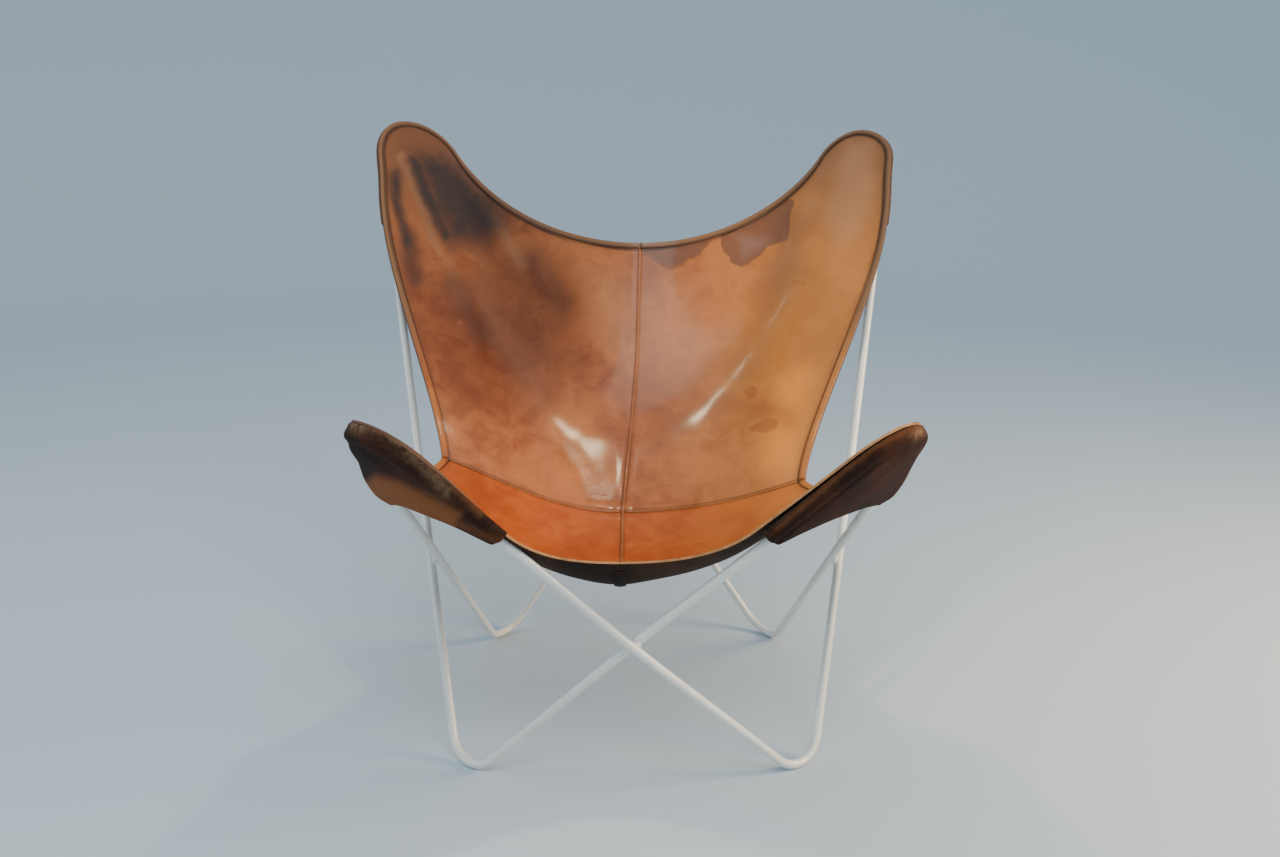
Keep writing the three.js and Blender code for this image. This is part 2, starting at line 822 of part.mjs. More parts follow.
// Flat strip stitched on the sitter's side along an edge
function edgeStrip(line, inners) {
  const rows = line.map((place, i) => [
    crossRow(line, inners, i, stripInset),
    crossRow(line, inners, i, stripInset + edgeStripWidth),
  ]);
  const high = half + stripClearance + edgeStripThickness;
  return stitched(stripSolid(rows, [0, 0], [high, high]));
}

// Places down the outer side of a panel from one row to another, with their inner neighbours
function sideLine(sheet, from, to) {
  const line = [];
  const inners = [];
  const step = Math.sign(to - from);
  for (let i = from; i !== to + step; i += step) {
    line.push(placeOn(sheet, i, columns));
    inners.push(placeOn(sheet, i, columns - 1));
  }
  return { line, inners };
}

function buildEdgeStrips() {
  const top = { line: [], inners: [] };
  for (let j = 0; j < columns; j += 1) {
    top.line.push(placeOn(backSheet, backRows, j));
    top.inners.push(placeOn(backSheet, backRows - 1, j));
  }
  const side = sideLine(backSheet, backRows, 0);
  side.inners[0] = placeOn(backSheet, backRows - 1, columns - 1);
  const line = top.line.concat(side.line);
  const inners = top.inners.concat(side.inners);
  addPair('back_edge_strip', edgeStrip(line, inners), 'strip');
  const rear = sideLine(seatSheet, 0, seatRows);
  rear.inners[seatRows] = placeOn(seatSheet, seatRows - 1, columns - 1);
  addPair('seat_edge_strip', edgeStrip(rear.line, rear.inners), 'strip');
}

// The line of the centre seam from the top edge to the front rim, and the places beside it
function centreLine() {
  const line = [];
  const beside = [];
  const add = (sheet, i) => {
    line.push(placeOn(sheet, i, 0));
    beside.push(placeOn(sheet, i, 1));
  };
  for (let i = backRows; i >= 0; i -= 1) {
    add(backWhole, i);
  }
  for (let i = 1; i <= seatRows; i += 1) {
    add(seatWhole, i);
  }
  return line.map((place, i) => ({ ...place, beside: beside[i] }));
}

function centreRows(line, width) {
  return line.map((place) => {
    const side = along(place.point, sideways, width / 2);
    return [
      { point: mirrored(side), normal: place.normal },
      place,
      { point: side, normal: place.normal },
    ];
  });
}

// Places of the cross seam from the centre to the side edge, each with its neighbours on the
// seat and on the back
function crossRows(startCut, endCut, width) {
  const rowOf = (sheet, i) => seamPoints.map((point, j) => placeOn(sheet, i, j));
  const line = rowOf(backWhole, 0);
  const beside = (neighbours) => line.map((place, j) => crossRow(line, neighbours, j, width / 2));
  const lines = [beside(rowOf(seatWhole, 1)), line, beside(rowOf(backWhole, 1))];
  const [seatSide, middle, backSide] = lines.map((places) => trimmed(places, startCut, endCut));
  return middle.map((place, i) => [seatSide[i], place, backSide[i]]);
}

function buildWelts() {
  const base = half + stripClearance;
  const highs = [base + weltEdgeHeight, base + weltHeight, base + weltEdgeHeight];
  const lows = [0, 0, 0];
  const edgeCut = stripInset + edgeStripWidth + stripClearance;
  const line = trimmed(centreLine(), edgeCut, stripInset);
  addPiece('centre_welt', stitched(stripSolid(centreRows(line, weltWidth), lows, highs)), 'welt');
  const rows = crossRows(weltWidth / 2 + stripClearance, edgeCut + weltWidth / 2, weltWidth);
  addPair('cross_welt', stitched(stripSolid(rows, lows, highs)), 'welt');
}

// Tapes that back the seams on the underside
function buildTapes() {
  const depth = -(half + stripClearance + tapeThickness);
  const lows = [depth, depth, depth];
  const highs = [0, 0, 0];
  const line = trimmed(centreLine(), stripInset, tapeStart);
  addPiece('centre_tape', stitched(stripSolid(centreRows(line, tapeWidth), lows, highs)), 'tape');
  const rows = crossRows(tapeWidth / 2 + stripClearance, stripInset, tapeWidth);
  addPair('cross_tape', stitched(stripSolid(rows, lows, highs)), 'tape');
}

// The origin lies on the floor under the middle of the whole chair
function centreOnFloor() {
  const middle = new THREE.Box3().setFromObject(chair).getCenter(vec(0, 0, 0));
  for (const mesh of chair.children) {
    mesh.geometry.translate(0, -middle.y, 0);
  }
}

buildFrame();
buildPanels();
buildPockets();
buildEdgeStrips();
buildWelts();
buildTapes();
centreOnFloor();

export default chair;
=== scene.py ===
import math
from functools import partial

import bpy
import numpy as np
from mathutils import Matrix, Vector
from mathutils.bvhtree import BVHTree
from mathutils import noise as field
from numpy.linalg import norm


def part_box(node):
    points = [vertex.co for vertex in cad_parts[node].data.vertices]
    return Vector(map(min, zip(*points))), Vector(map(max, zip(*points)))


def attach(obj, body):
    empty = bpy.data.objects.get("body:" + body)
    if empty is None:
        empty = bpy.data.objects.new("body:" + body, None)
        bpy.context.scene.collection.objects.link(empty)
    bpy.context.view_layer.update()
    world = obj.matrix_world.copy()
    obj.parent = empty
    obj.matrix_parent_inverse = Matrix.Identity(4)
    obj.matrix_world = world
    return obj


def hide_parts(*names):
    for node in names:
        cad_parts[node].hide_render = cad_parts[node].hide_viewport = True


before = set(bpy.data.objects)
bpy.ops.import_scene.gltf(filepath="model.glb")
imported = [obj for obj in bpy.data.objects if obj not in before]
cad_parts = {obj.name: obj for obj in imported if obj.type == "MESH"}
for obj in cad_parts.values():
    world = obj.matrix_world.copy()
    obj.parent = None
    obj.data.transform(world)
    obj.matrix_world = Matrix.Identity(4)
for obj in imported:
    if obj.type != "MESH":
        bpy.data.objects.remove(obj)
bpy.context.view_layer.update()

# Butterfly sling chair. The forms follow the same named sizes and curves as the CAD source,
# in millimetres, sampled finer. Meshes are turned into metres when they are made.

ROD_DIAMETER = 12.7
BEND_RADIUS = 50.0
TOP_BEND_RADIUS = 60.0
FRONT_FOOT_HALF_SPAN = 251.0
REAR_FOOT_HALF_SPAN = 242.0
REAR_FOOT_DEPTH = 494.0
WING_HALF_SPAN = 361.0
WING_FORWARD = 183.0
WING_HEIGHT = 573.0
TOP_HALF_SPAN = 460.0
TOP_DEPTH = 668.0
TOP_HEIGHT = 988.0
FOOT_WEAR = 0.3
TOUCH_GAP = 0.3
WELD_RADIUS = 8.4
WELD_HALF_HEIGHT = 5.2

LEATHER = 3.5
POCKET_CLEARANCE = 0.5
EDGE_REACH = 14.0
EDGE_RISE = 1.5
TOP_FULLNESS, TOP_BULGE, BULGE_LENGTH = 14.0, 6.0, 100.0
WING_FULLNESS, MOUTH_FLARE, FLARE_LENGTH = 8.0, 32.0, 130.0
INNER_FADE_START, INNER_FADE_LENGTH = 130.0, 150.0
FLARE_SLANT = 0.4
MOUTH_HOLLOW = 32.0
TOP_MOUTH = 315.0
WING_MOUTH = 258.0
LEAVE = 10.0

RIM = (-88.0, 341.0)
FOLD = (225.0, 309.0)
HEAD = (470.0, 696.0)

# The photographed sling hangs a little lopsided on its frame. For each side of the chair: where
# the side and rear edges meet, and how much further the leather's edge stands off the rods, in
# the order of inner side, tip, outer side and mouth.
CROTCH = {1: (257.0, 186.0, 372.0), -1: (289.0, 200.0, 402.0)}
TOP_REACH = {1: (-9.0, -7.0, 1.0, 0.0), -1: (9.0, 10.0, 1.0, 1.0)}
WING_REACH = {1: (1.0, 6.0, 8.0, 8.0), -1: (25.0, 12.0, -4.0, 10.0)}

# How far the centre seam leans to the sitter's left, by share of the back and of the seat
LEAN = {"back": ((0.0, -19.0), (0.33, -7.0), (0.6, 3.0), (1.0, 8.0)),
        "seat": ((0.0, -19.0), (0.5, -20.0), (1.0, -20.0))}
LEAN_WIDTH = 170.0
RIM_FALL, FOLD_RISE, HEAD_RISE, CROSS_RISE = -54.7, 35.0, 68.0, 23.0
BACK_EDGE_RISE, BACK_EDGE_SPREAD = 56.0, 7.0
SEAT_EDGE_RISE, SEAT_EDGE_SPREAD = -6.0, 3.0
SEAT_HANDLES, BACK_HANDLES, CROSS_HANDLES = (0.37, 0.34), (0.36, 0.36), (0.38, 0.34)
TOP_HANDLES, SIDE_HANDLES = (0.4, 0.2), (0.2, 0.28)
RIM_HANDLES, REAR_HANDLES = (0.4, 0.3), (0.3, 0.3)

BAND_WIDTH = 9.2
TAPE_WIDTH = 16.0

# How finely the CAD source samples each line: hanging stretch, stretch beside the rod, round end,
# and the bends and half rods of the loops
ARC_STEPS = 6
TOP_STEPS, SIDE_STEPS = (8, 0), (8, 2)
RIM_STEPS, REAR_STEPS = (6, 2), (6, 4)
TOP_POCKET_STEPS = 2
CAD_BEND_STEPS, CAD_ROD_STEPS = 12, 5

# How finely this scene samples them
BEND_STEPS, ROD_STEPS, ROD_SIDES = 36, 26, 28
HANG_POINTS, BESIDE_POINTS, ARC_POINTS = 400, 60, 80
ROWS, COLUMNS = 121, 113
WELD_ROWS, WELD_COLUMNS = 25, 40
STRIP_STEP, SEAM_STEP = 5.0, 4.0
SETTLE_PASSES = 8

ROD_RADIUS = ROD_DIAMETER / 2
HALF = LEATHER / 2
EDGE_LIFT = ROD_RADIUS + POCKET_CLEARANCE + HALF + EDGE_RISE
SIDES = ((1, "right"), (-1, "left"))
TINY = 1e-9


def vec(*values):
    return np.array(values, float)


X, FIRST_FRAME = vec(1, 0, 0), vec(0.3, 0.1, 1)


def unit(v):
    return v / norm(v, axis=-1, keepdims=True)


def smooth(x):
    t = np.clip(x, 0.0, 1.0)
    return t * t * (3 - 2 * t)


def bell(x, at, width):
    return np.exp(-((x - at) / width) ** 2)


def lengths(line):
    """Distance from a line's start to each of its points."""
    return np.concatenate([[0], np.cumsum(norm(np.diff(line, axis=0), axis=1))])


def along(line, at, values=None):
    """Places on a line, or values that go with its points, at distances from its start."""
    run = lengths(line)
    values = line if values is None else values
    return np.stack([np.interp(at, run, values[:, k]) for k in range(3)], -1)


def resample(line, step):
    end = lengths(line)[-1]
    return along(line, np.linspace(0, end, int(end / step) + 1))


def trim(line, start, end):
    last = lengths(line)[-1] - end
    return along(line, np.linspace(start, last, int((last - start) / SEAM_STEP)))


def smoothed(line, passes):
    out = line.copy()
    for _ in range(passes):
        out[1:-1] = (out[:-2] + 2 * out[1:-1] + out[2:]) / 4
    return out


# Rod loops

def bend_at(corner, end_a, end_b, radius=BEND_RADIUS):
    to_a, to_b = unit(end_a - corner), unit(end_b - corner)
    half_angle = math.acos(np.clip(to_a @ to_b, -1, 1)) / 2
    bisector = unit(to_a + to_b)
    centre = corner + bisector * radius / math.sin(half_angle)
    tangent = radius / math.tan(half_angle)
    out_a, out_b = (unit(corner + way * tangent - centre) for way in (to_a, to_b))
    return {
        "corner": corner, "radius": radius, "to_a": to_a, "to_b": to_b, "bisector": bisector,
        "centre": centre, "tangent": tangent, "out_a": out_a, "out_b": out_b,
        "normal": unit(np.cross(to_a, to_b)), "sweep": math.acos(np.clip(out_a @ out_b, -1, 1)),
    }


def bend_point(bend, share, reach):
    a, b = (math.sin(s * bend["sweep"]) / math.sin(bend["sweep"]) for s in (1 - share, share))
    return bend["centre"] + (bend["out_a"] * a + bend["out_b"] * b) * (bend["radius"] + reach)


def loop_corners(side):
    corners = [
        vec(side * FRONT_FOOT_HALF_SPAN, 0, 0),
        vec(-side * WING_HALF_SPAN, -WING_FORWARD, WING_HEIGHT),
        vec(-side * REAR_FOOT_HALF_SPAN, REAR_FOOT_DEPTH, 0),
        vec(side * TOP_HALF_SPAN, TOP_DEPTH, TOP_HEIGHT),
    ]
    for _ in range(SETTLE_PASSES):
        for foot in (0, 2):
            bend = bend_at(corners[foot], corners[(foot + 3) % 4], corners[foot + 1])
            drop = BEND_RADIUS * math.sqrt(1 - bend["normal"][2] ** 2)
            corners[foot][2] += ROD_RADIUS - FOOT_WEAR - (bend["centre"][2] - drop)
    return corners


def bends_of(corners):
    radii = (BEND_RADIUS, BEND_RADIUS, BEND_RADIUS, TOP_BEND_RADIUS)
    return [bend_at(corners[i], corners[(i + 3) % 4], corners[(i + 1) % 4], radii[i])
            for i in range(4)]


# Which way each rod of the right loop passes the other loop, and which of its rods it crosses
PASSING = [vec(0, -1, 0), X, vec(0, 1, 0), X]
PARTNER = [0, 3, 2, 1]


def crossing_at(corners, others, index, side):
    start, end = corners[index], corners[(index + 1) % 4]
    other = PARTNER[index]
    o_start, o_end = others[other], others[(other + 1) % 4]
    u, v, w = end - start, o_end - o_start, start - o_start
    uu, uv, vv = u @ u, u @ v, v @ v
    scale = uu * vv - uv * uv
    share = (uv * (v @ w) - vv * (u @ w)) / scale
    other_share = (uu * (v @ w) - uv * (u @ w)) / scale
    here, there = start + u * share, o_start + v * other_share
    normal = unit(np.cross(u, v))
    if normal @ (PASSING[index] * side) < 0:
        normal = -normal
    step = (ROD_DIAMETER + TOUCH_GAP - (here - there) @ normal) / 2
    return {"share": share, "shift": normal * step, "place": (here + there) / 2,
            "normal": normal, "along": unit(u)}


def calm_distance(bend, index):
    """How far from a corner its rod stays straight for the leather that lies along it."""
    return max(bend["tangent"], (0, WING_MOUTH, 0, TOP_MOUTH)[index] + LEAVE)


def loop_route(corners, others, side, bend_steps, rod_steps):
    bends = bends_of(corners)
    points = []
    for index in range(4):
        start, end = bends[index], bends[(index + 1) % 4]
        points += [bend_point(start, s / bend_steps, 0) for s in range(bend_steps + 1)]
        cross = crossing_at(corners, others, index, side)
        length = norm(end["corner"] - start["corner"])
        middle = cross["share"] * length
        calm_start = calm_distance(start, index)
        calm_end = length - calm_distance(end, (index + 1) % 4)
        last = length - end["tangent"]
        for step in range(1, 2 * rod_steps):
            local = step / rod_steps
            first = start["tangent"] + (middle - start["tangent"]) * local
            second = middle + (last - middle) * (local - 1)
            distance = first if local < 1 else second
            rise = smooth((distance - calm_start) / (middle - calm_start))
            fall = smooth((calm_end - distance) / (calm_end - middle))
            aside = cross["shift"] * min(rise, fall)
            points.append(start["corner"] + start["to_b"] * distance + aside)
    return np.array(points)


RIGHT, LEFT = loop_corners(1), loop_corners(-1)


# Sling curves

def heading(rise, spread, forward):
    a, b = math.radians(rise), math.radians(spread)
    return vec(math.sin(b), forward * math.cos(b) * math.cos(a), math.cos(b) * math.sin(a))


def hanging(start, leaving, end, arriving, handles):
    chord = norm(end - start)
    first, second = start + leaving * chord * handles[0], end - arriving * chord * handles[1]
    t = np.linspace(0, 1, HANG_POINTS + 1)[:, None]
    s = 1 - t
    return s ** 3 * start + 3 * s * s * t * first + 3 * s * t * t * second + t ** 3 * end


def pocket_bend(corners, index, is_top, fullness, extra):
    bend = bends_of(corners)[index]
    facing = bend["normal"]
    if facing @ (vec(0, *FOLD) - bend["corner"]) < 0:
        facing = -facing
    return {**bend, "facing": facing, "is_top": is_top, "fullness": fullness, "extra": extra}


def reach_beside(bend, side, distance):
    inner, _, outer, mouth = bend["extra"]
    if side == "A":
        fade = 1 - smooth((distance - INNER_FADE_START) / INNER_FADE_LENGTH)
        return EDGE_REACH + bend["fullness"] + inner * (1.0 if bend["is_top"] else fade)
    if bend["is_top"]:
        return EDGE_REACH + TOP_BULGE * smooth((distance - bend["tangent"]) / BULGE_LENGTH) + outer
    flare = smooth(1 - (WING_MOUTH - distance) / FLARE_LENGTH)
    return EDGE_REACH + outer * (1 - flare) + (MOUTH_FLARE + mouth) * flare


def reach_round(bend, share):
    inner, tip, outer, _ = bend["extra"]
    base = EDGE_REACH + bend["fullness"] * smooth(1 - share)
    if share < 0.5:
        return base + inner + (tip - inner) * smooth(share / 0.5)
    return base + tip + (outer - tip) * smooth((share - 0.5) / 0.5)


def rod_way(bend, side):
    """Which way a rod leaves its bend, and which way points out beside it."""
    return (bend["to_a"], bend["out_a"]) if side == "A" else (bend["to_b"], bend["out_b"])


def beside_rod(bend, side, distance):
    direction, out = rod_way(bend, side)
    reach = reach_beside(bend, side, distance)
    return bend["corner"] + direction * distance + out * reach + bend["facing"] * EDGE_LIFT


def round_bend(bend, share):
    return bend_point(bend, share, reach_round(bend, share)) + bend["facing"] * EDGE_LIFT


class Edge:
    """A line of the sling that can be sampled at the CAD source's own numbering, also between
    its points: the pace changes smoothly from one stretch to the next."""

    def __init__(self, dense, marks):
        self.dense, self.marks, self.count = dense, np.array(marks, float), len(marks) - 1

    def pace(self, index):
        """Monotone cubic through the marks."""
        h = np.diff(self.marks)
        slope = np.zeros(len(self.marks))
        slope[1:-1] = 2 * h[:-1] * h[1:] / np.maximum(h[:-1] + h[1:], TINY)
        slope[0], slope[-1] = h[0], h[-1]
        k = np.clip(np.floor(index).astype(int), 0, self.count - 1)
        t = index - k
        a, b = self.marks[k], self.marks[k + 1]
        return ((2 * t ** 3 - 3 * t ** 2 + 1) * a + (t ** 3 - 2 * t ** 2 + t) * slope[k]
                + (3 * t ** 2 - 2 * t ** 3) * b + (t ** 3 - t ** 2) * slope[k + 1])

    def at(self, shares):
        return along(self.dense, self.pace(np.clip(shares, 0, 1) * self.count))


def even_edge(dense, steps):
    return Edge(dense, np.linspace(0, lengths(dense)[-1], steps + 1))


def bend_edge(bend, side, start, leaving, leave, steps, handles):
    """An edge that hangs from its start, lies beside the rod and turns half round the bend."""
    first = 0.0 if side == "A" else 1.0
    arriving = -rod_way(bend, side)[0]
    if side == "B" and not bend["is_top"]:
        arriving = unit(arriving + bend["out_b"] * FLARE_SLANT)
    beside = [beside_rod(bend, side, leave + (bend["tangent"] - leave) * s)
              for s in np.linspace(0, 1, BESIDE_POINTS)[1:]]
    arc = [round_bend(bend, first + (0.5 - first) * s) for s in np.linspace(0, 1, ARC_POINTS)[1:]]
    parts = [(hanging(start, leaving, beside_rod(bend, side, leave), arriving, handles), steps[0]),
             (beside, steps[1]), (arc, ARC_STEPS)]
    parts = [part for part in parts if part[1]]
    dense = np.vstack([points for points, _ in parts])
    ends = lengths(dense)[np.cumsum([len(points) for points, _ in parts]) - 1]
    marks = [0.0]
    for end, (_, count) in zip(ends, parts):
        marks += list(np.linspace(marks[-1], end, count + 1)[1:])
    return Edge(dense, marks)


P_RIM, P_FOLD, P_HEAD = vec(0, *RIM), vec(0, *FOLD), vec(0, *HEAD)
FOLD_HEADING = heading(FOLD_RISE, 0, 1)
CROSS_ARRIVAL = unit(heading(CROSS_RISE, 90, 1) + heading(CROSS_RISE, 0, 0))


def edges_of(side):
    """The sling's edges and seams on one side of the chair, in the right side's coordinates."""
    top = pocket_bend(RIGHT, 3, True, TOP_FULLNESS, TOP_REACH[side])
    wing = pocket_bend(LEFT, 1, False, WING_FULLNESS, WING_REACH[side])
    crotch, mouth = vec(*CROTCH[side]), WING_MOUTH + LEAVE
    back_way = heading(BACK_EDGE_RISE, BACK_EDGE_SPREAD, 1)
    seat_way = heading(SEAT_EDGE_RISE, SEAT_EDGE_SPREAD, -1)
    found = {
        "top": bend_edge(top, "A", P_HEAD, X, top["tangent"], TOP_STEPS, TOP_HANDLES),
        "side": bend_edge(top, "B", crotch, back_way, TOP_MOUTH + LEAVE, SIDE_STEPS, SIDE_HANDLES),
        "rim": bend_edge(wing, "A", P_RIM, X, mouth, RIM_STEPS, RIM_HANDLES),
        "rear": bend_edge(wing, "B", crotch, seat_way, mouth, REAR_STEPS, REAR_HANDLES),
        "top_bend": top, "wing_bend": wing,
    }
    seam = hanging(P_FOLD, X, crotch, CROSS_ARRIVAL, CROSS_HANDLES)
    back = hanging(P_FOLD, FOLD_HEADING, P_HEAD, heading(HEAD_RISE, 0, 1), BACK_HANDLES)
    seat = hanging(P_RIM, heading(RIM_FALL, 0, 1), P_FOLD, FOLD_HEADING, SEAT_HANDLES)[::-1]
    found["seam"] = even_edge(seam, found["top"].count)
    found["back"] = even_edge(back, found["side"].count)
    found["seat"] = even_edge(seat, found["rear"].count)
    return found


EDGES = {side: edges_of(side) for side, _ in SIDES}

# The CAD source moves the finished chair so that its box is centred: the same move here
CAD_ROUTE = loop_route(RIGHT, LEFT, 1, CAD_BEND_STEPS, CAD_ROD_STEPS)
ORIGIN = vec(0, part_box("rod_loop_right")[0][1] * 1000 - (CAD_ROUTE[:, 1].min() - ROD_RADIUS), 0)


def stretched(seam, centre, far, outer):
    """Sheet stretched over four edges: rows from the cross seam to the far edge, columns from
    the centre seam to the outside."""
    a = np.linspace(0, 1, ROWS)[:, None, None]
    b = np.linspace(0, 1, COLUMNS)[None, :, None]
    s, f = seam.at(b[0, :, 0])[None], far.at(b[0, :, 0])[None]
    c, o = centre.at(a[:, 0, 0])[:, None], outer.at(a[:, 0, 0])[:, None]
    corner = (s[:, :1] * (1 - a) * (1 - b) + s[:, -1:] * (1 - a) * b
              + f[:, :1] * a * (1 - b) + f[:, -1:] * a * b)
    return s * (1 - a) + f * a + c * (1 - b) + o * b - corner


def grid_normals(grid, flip):
    n = np.cross(np.gradient(grid, axis=1), np.gradient(grid, axis=0))
    n /= np.maximum(norm(n, axis=2, keepdims=True), TINY)
    return -n if flip else n


def to_line(points, line):
    """Distance in millimetres from each point to a line, worked out in blocks of points."""
    a, b = line[:-1], line[1:]
    ab = b - a
    length = np.maximum((ab * ab).sum(1), TINY)
    best, block = [], 2000
    for k in range(0, len(points), block):
        p = points[k:k + block, None, :]
        t = np.clip(((p - a) * ab).sum(2) / length, 0, 1)
        best.append(norm(p - (a + ab * t[..., None]), axis=2).min(1))
    return np.concatenate(best)


# Camera, solved from the photographed rods. The same numbers say where a point of the leather
# lies in the photograph, so that marks can be placed by pixel.
PHOTO_WIDTH = 1280.0
FOCAL = 1281.0
PITCH = math.radians(14)
CAMERA = vec(0, -1655, 911) + ORIGIN
PRINCIPAL = (635.0, 428.5)


def pixel(points):
    d = points - CAMERA
    depth = d[..., 1] * math.cos(PITCH) - d[..., 2] * math.sin(PITCH)
    rise = d[..., 1] * math.sin(PITCH) + d[..., 2] * math.cos(PITCH)
    return PRINCIPAL[0] + FOCAL * d[..., 0] / depth, PRINCIPAL[1] - FOCAL * rise / depth


# Soft ridges and hollows that run down from the tips, as lines in the photograph's pixels, each
# with its width in pixels, its height in millimetres and its corners
RIDGES = {
    ("back", -1): [
        (10, 2.2, 403, 147, 418, 187, 430, 228, 439, 268),
        (9, -1.7, 392, 150, 395, 190, 401, 222, 408, 270),
        (9, -1.9, 414, 155, 425, 190, 438, 222, 450, 250),
        (15, 1.8, 450, 160, 484, 210, 508, 244, 530, 276),
        (13, -1.4, 436, 160, 456, 198, 474, 232, 492, 268),
        (16, -1.0, 475, 185, 510, 220, 540, 260),
    ],
    ("back", 1): [
        (11, 2.0, 872, 145, 853, 188, 839, 231, 828, 270),
        (11, -1.4, 858, 150, 840, 190, 822, 235, 806, 280),
        (14, 1.7, 838, 165, 814, 205, 797, 240),
        (12, -1.2, 881, 170, 868, 215, 852, 262),
        (14, -1.6, 800, 215, 789, 245, 776, 290, 758, 335),
    ],
    ("seat", 1): [
        (12, 1.4, 905, 450, 850, 490, 790, 520),
        (12, -1.0, 890, 478, 830, 505, 780, 528),
    ],
    ("seat", -1): [
        (12, 1.4, 372, 440, 425, 480, 480, 515),
        (12, -1.0, 385, 470, 440, 500, 490, 524),
    ],
}


def corners_of(numbers):
    return list(zip(numbers[::2], numbers[1::2]))


def line_distance(u, v, corners):
    """Distance in pixels from each place to a line through the corners."""
    best = np.full(u.shape, np.inf)
    for (ax, ay), (bx, by) in zip(corners[:-1], corners[1:]):
        dx, dy = bx - ax, by - ay
        t = np.clip(((u - ax) * dx + (v - ay) * dy) / (dx * dx + dy * dy), 0, 1)
        best = np.minimum(best, np.hypot(u - ax - dx * t, v - ay - dy * t))
    return best


def area_depth(u, v, corners):
    """Distance in pixels inside a closed outline, negative outside it."""
    closed = corners + corners[:1]
    inside = np.zeros(u.shape, bool)
    for (ax, ay), (bx, by) in zip(closed[:-1], closed[1:]):
        if ay != by:
            inside ^= ((ay > v) != (by > v)) & (u < (bx - ax) * (v - ay) / (by - ay) + ax)
    depth = line_distance(u, v, closed)
    return np.where(inside, depth, -depth)


def waves(points, seed, size, height):
    """Soft noise over the given places, of a size in millimetres."""
    return height * np.array([field.noise(Vector((x / size + seed, y / size, z / size)))
                              for x, y, z in points])


# The panels' free edges by name: centre seam, far edge, outer edge
PANEL_EDGES = {"back": ("back", "top", "side"), "seat": ("seat", "rim", "rear")}

# Waves in the panels: seed, size and height
BROAD_WAVE = {"back": (3.1, 95, 1.5), "seat": (9.4, 95, 1.5)}
FINE_WAVE = (27.3, 38, 0.3)

# Where waves and folds start beside an edge, over which length, and over which beside a seam
CALM_EDGE, CALM_FADE, CALM_SEAM = 8, 26, 40

# The panels swell a little beside the cross seam and the centre seam: height, place and width
SEAM_SWELL, MIDDLE_SWELL, SWELL_FADE = (1.1, 9, 6), (0.5, 8, 5), 10
HALF_SLIT = 0.25


def panel_grid(kind, side):
    """Middle surface of one panel, with its folds, and how far its places lie from its edges."""
    edges, mirror = EDGES[side], vec(side, 1, 1)
    centre, far, outer = (edges[name] for name in PANEL_EDGES[kind])
    grid = stretched(edges["seam"], centre, far, outer)
    normals = grid_normals(grid, kind == "seat")
    flat, shape = grid.reshape(-1, 3), grid.shape[:2]
    top, rear, seam, middle = (
        to_line(flat, line.dense[::step]).reshape(shape)
        for line, step in ((far, 4), (outer, 4), (edges["seam"], 8), (centre, 8)))
    edge = np.minimum(top, rear)
    u, v = pixel(grid * mirror + ORIGIN)
    folds = sum(height * bell(line_distance(u, v, corners_of(numbers)), 0, width)
                for width, height, *numbers in RIDGES[kind, side])
    folds = folds + (waves(flat * mirror, *BROAD_WAVE[kind])
                     + waves(flat * mirror, *FINE_WAVE)).reshape(shape)
    calm = (smooth((edge - CALM_EDGE) / CALM_FADE)
            * smooth(seam / CALM_SEAM) * smooth(middle / CALM_SEAM))
    grid = grid + normals * (folds * calm)[..., None]
    swell = (SEAM_SWELL[0] * bell(seam, *SEAM_SWELL[1:])
             + MIDDLE_SWELL[0] * bell(middle, *MIDDLE_SWELL[1:]))
    grid = grid + normals * (swell * smooth((edge - CALM_EDGE) / SWELL_FADE))[..., None]
    grid[:, 0, 0] = HALF_SLIT
    grid = grid * mirror + ORIGIN
    lean = np.interp(np.linspace(0, 1, ROWS), *zip(*LEAN[kind]))[:, None]
    grid[:, :, 0] += lean * bell(grid[:, :, 0], 0, LEAN_WIDTH)
    return {"grid": grid, "edge": edge, "rear": rear, "seam": seam, "middle": middle}


# Meshes

def new_object(name, data):
    obj = bpy.data.objects.new(name, data)
    bpy.context.collection.objects.link(obj)
    return obj


def mesh_object(name, points, faces, materials):
    mesh = bpy.data.meshes.new(name)
    mesh.from_pydata(points.tolist(), [], faces)
    mesh.update()
    mesh.polygons.foreach_set("use_smooth", np.ones(len(mesh.polygons), bool))
    for material in materials:
        mesh.materials.append(material)
    return new_object(name, mesh)


def piece(name, points, faces, materials, node=None):
    """Makes one piece of the chair from places in millimetres."""
    obj = mesh_object(name, points.reshape(-1, 3) / 1000, faces, materials)
    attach(obj, "root")
    if node:
        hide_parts(node)
    return obj


def grid_faces(rows, columns, flip=False, closed=False):
    faces = []
    for i in range(rows - 1):
        for j in range(columns if closed else columns - 1):
            a, b = i * columns + j, i * columns + (j + 1) % columns
            c, d = a + columns, b + columns
            faces.append((a, c, d, b) if flip else (a, b, d, c))
    return faces


def give_attribute(obj, name, values):
    layer = obj.data.attributes.new(name, "FLOAT", "POINT")
    layer.data.foreach_set("value", np.ascontiguousarray(values, dtype=np.float32).ravel())


BEVEL_SEGMENTS, BEVEL_ANGLE = 3, math.radians(55)


def thicken(obj, thickness, bevel):
    """Gives a middle surface its thickness, with the grain side first, then the flesh side and
    the cut edge, and softens the cut edge's corners."""
    solid = obj.modifiers.new("thickness", "SOLIDIFY")
    solid.thickness = thickness / 1000
    solid.offset = 0
    solid.use_even_offset = False
    solid.material_offset, solid.material_offset_rim = 1, 2
    if bevel:
        soft = obj.modifiers.new("edge", "BEVEL")
        soft.width = bevel / 1000
        soft.segments = BEVEL_SEGMENTS
        soft.limit_method = "ANGLE"
        soft.angle_limit = BEVEL_ANGLE


# Materials

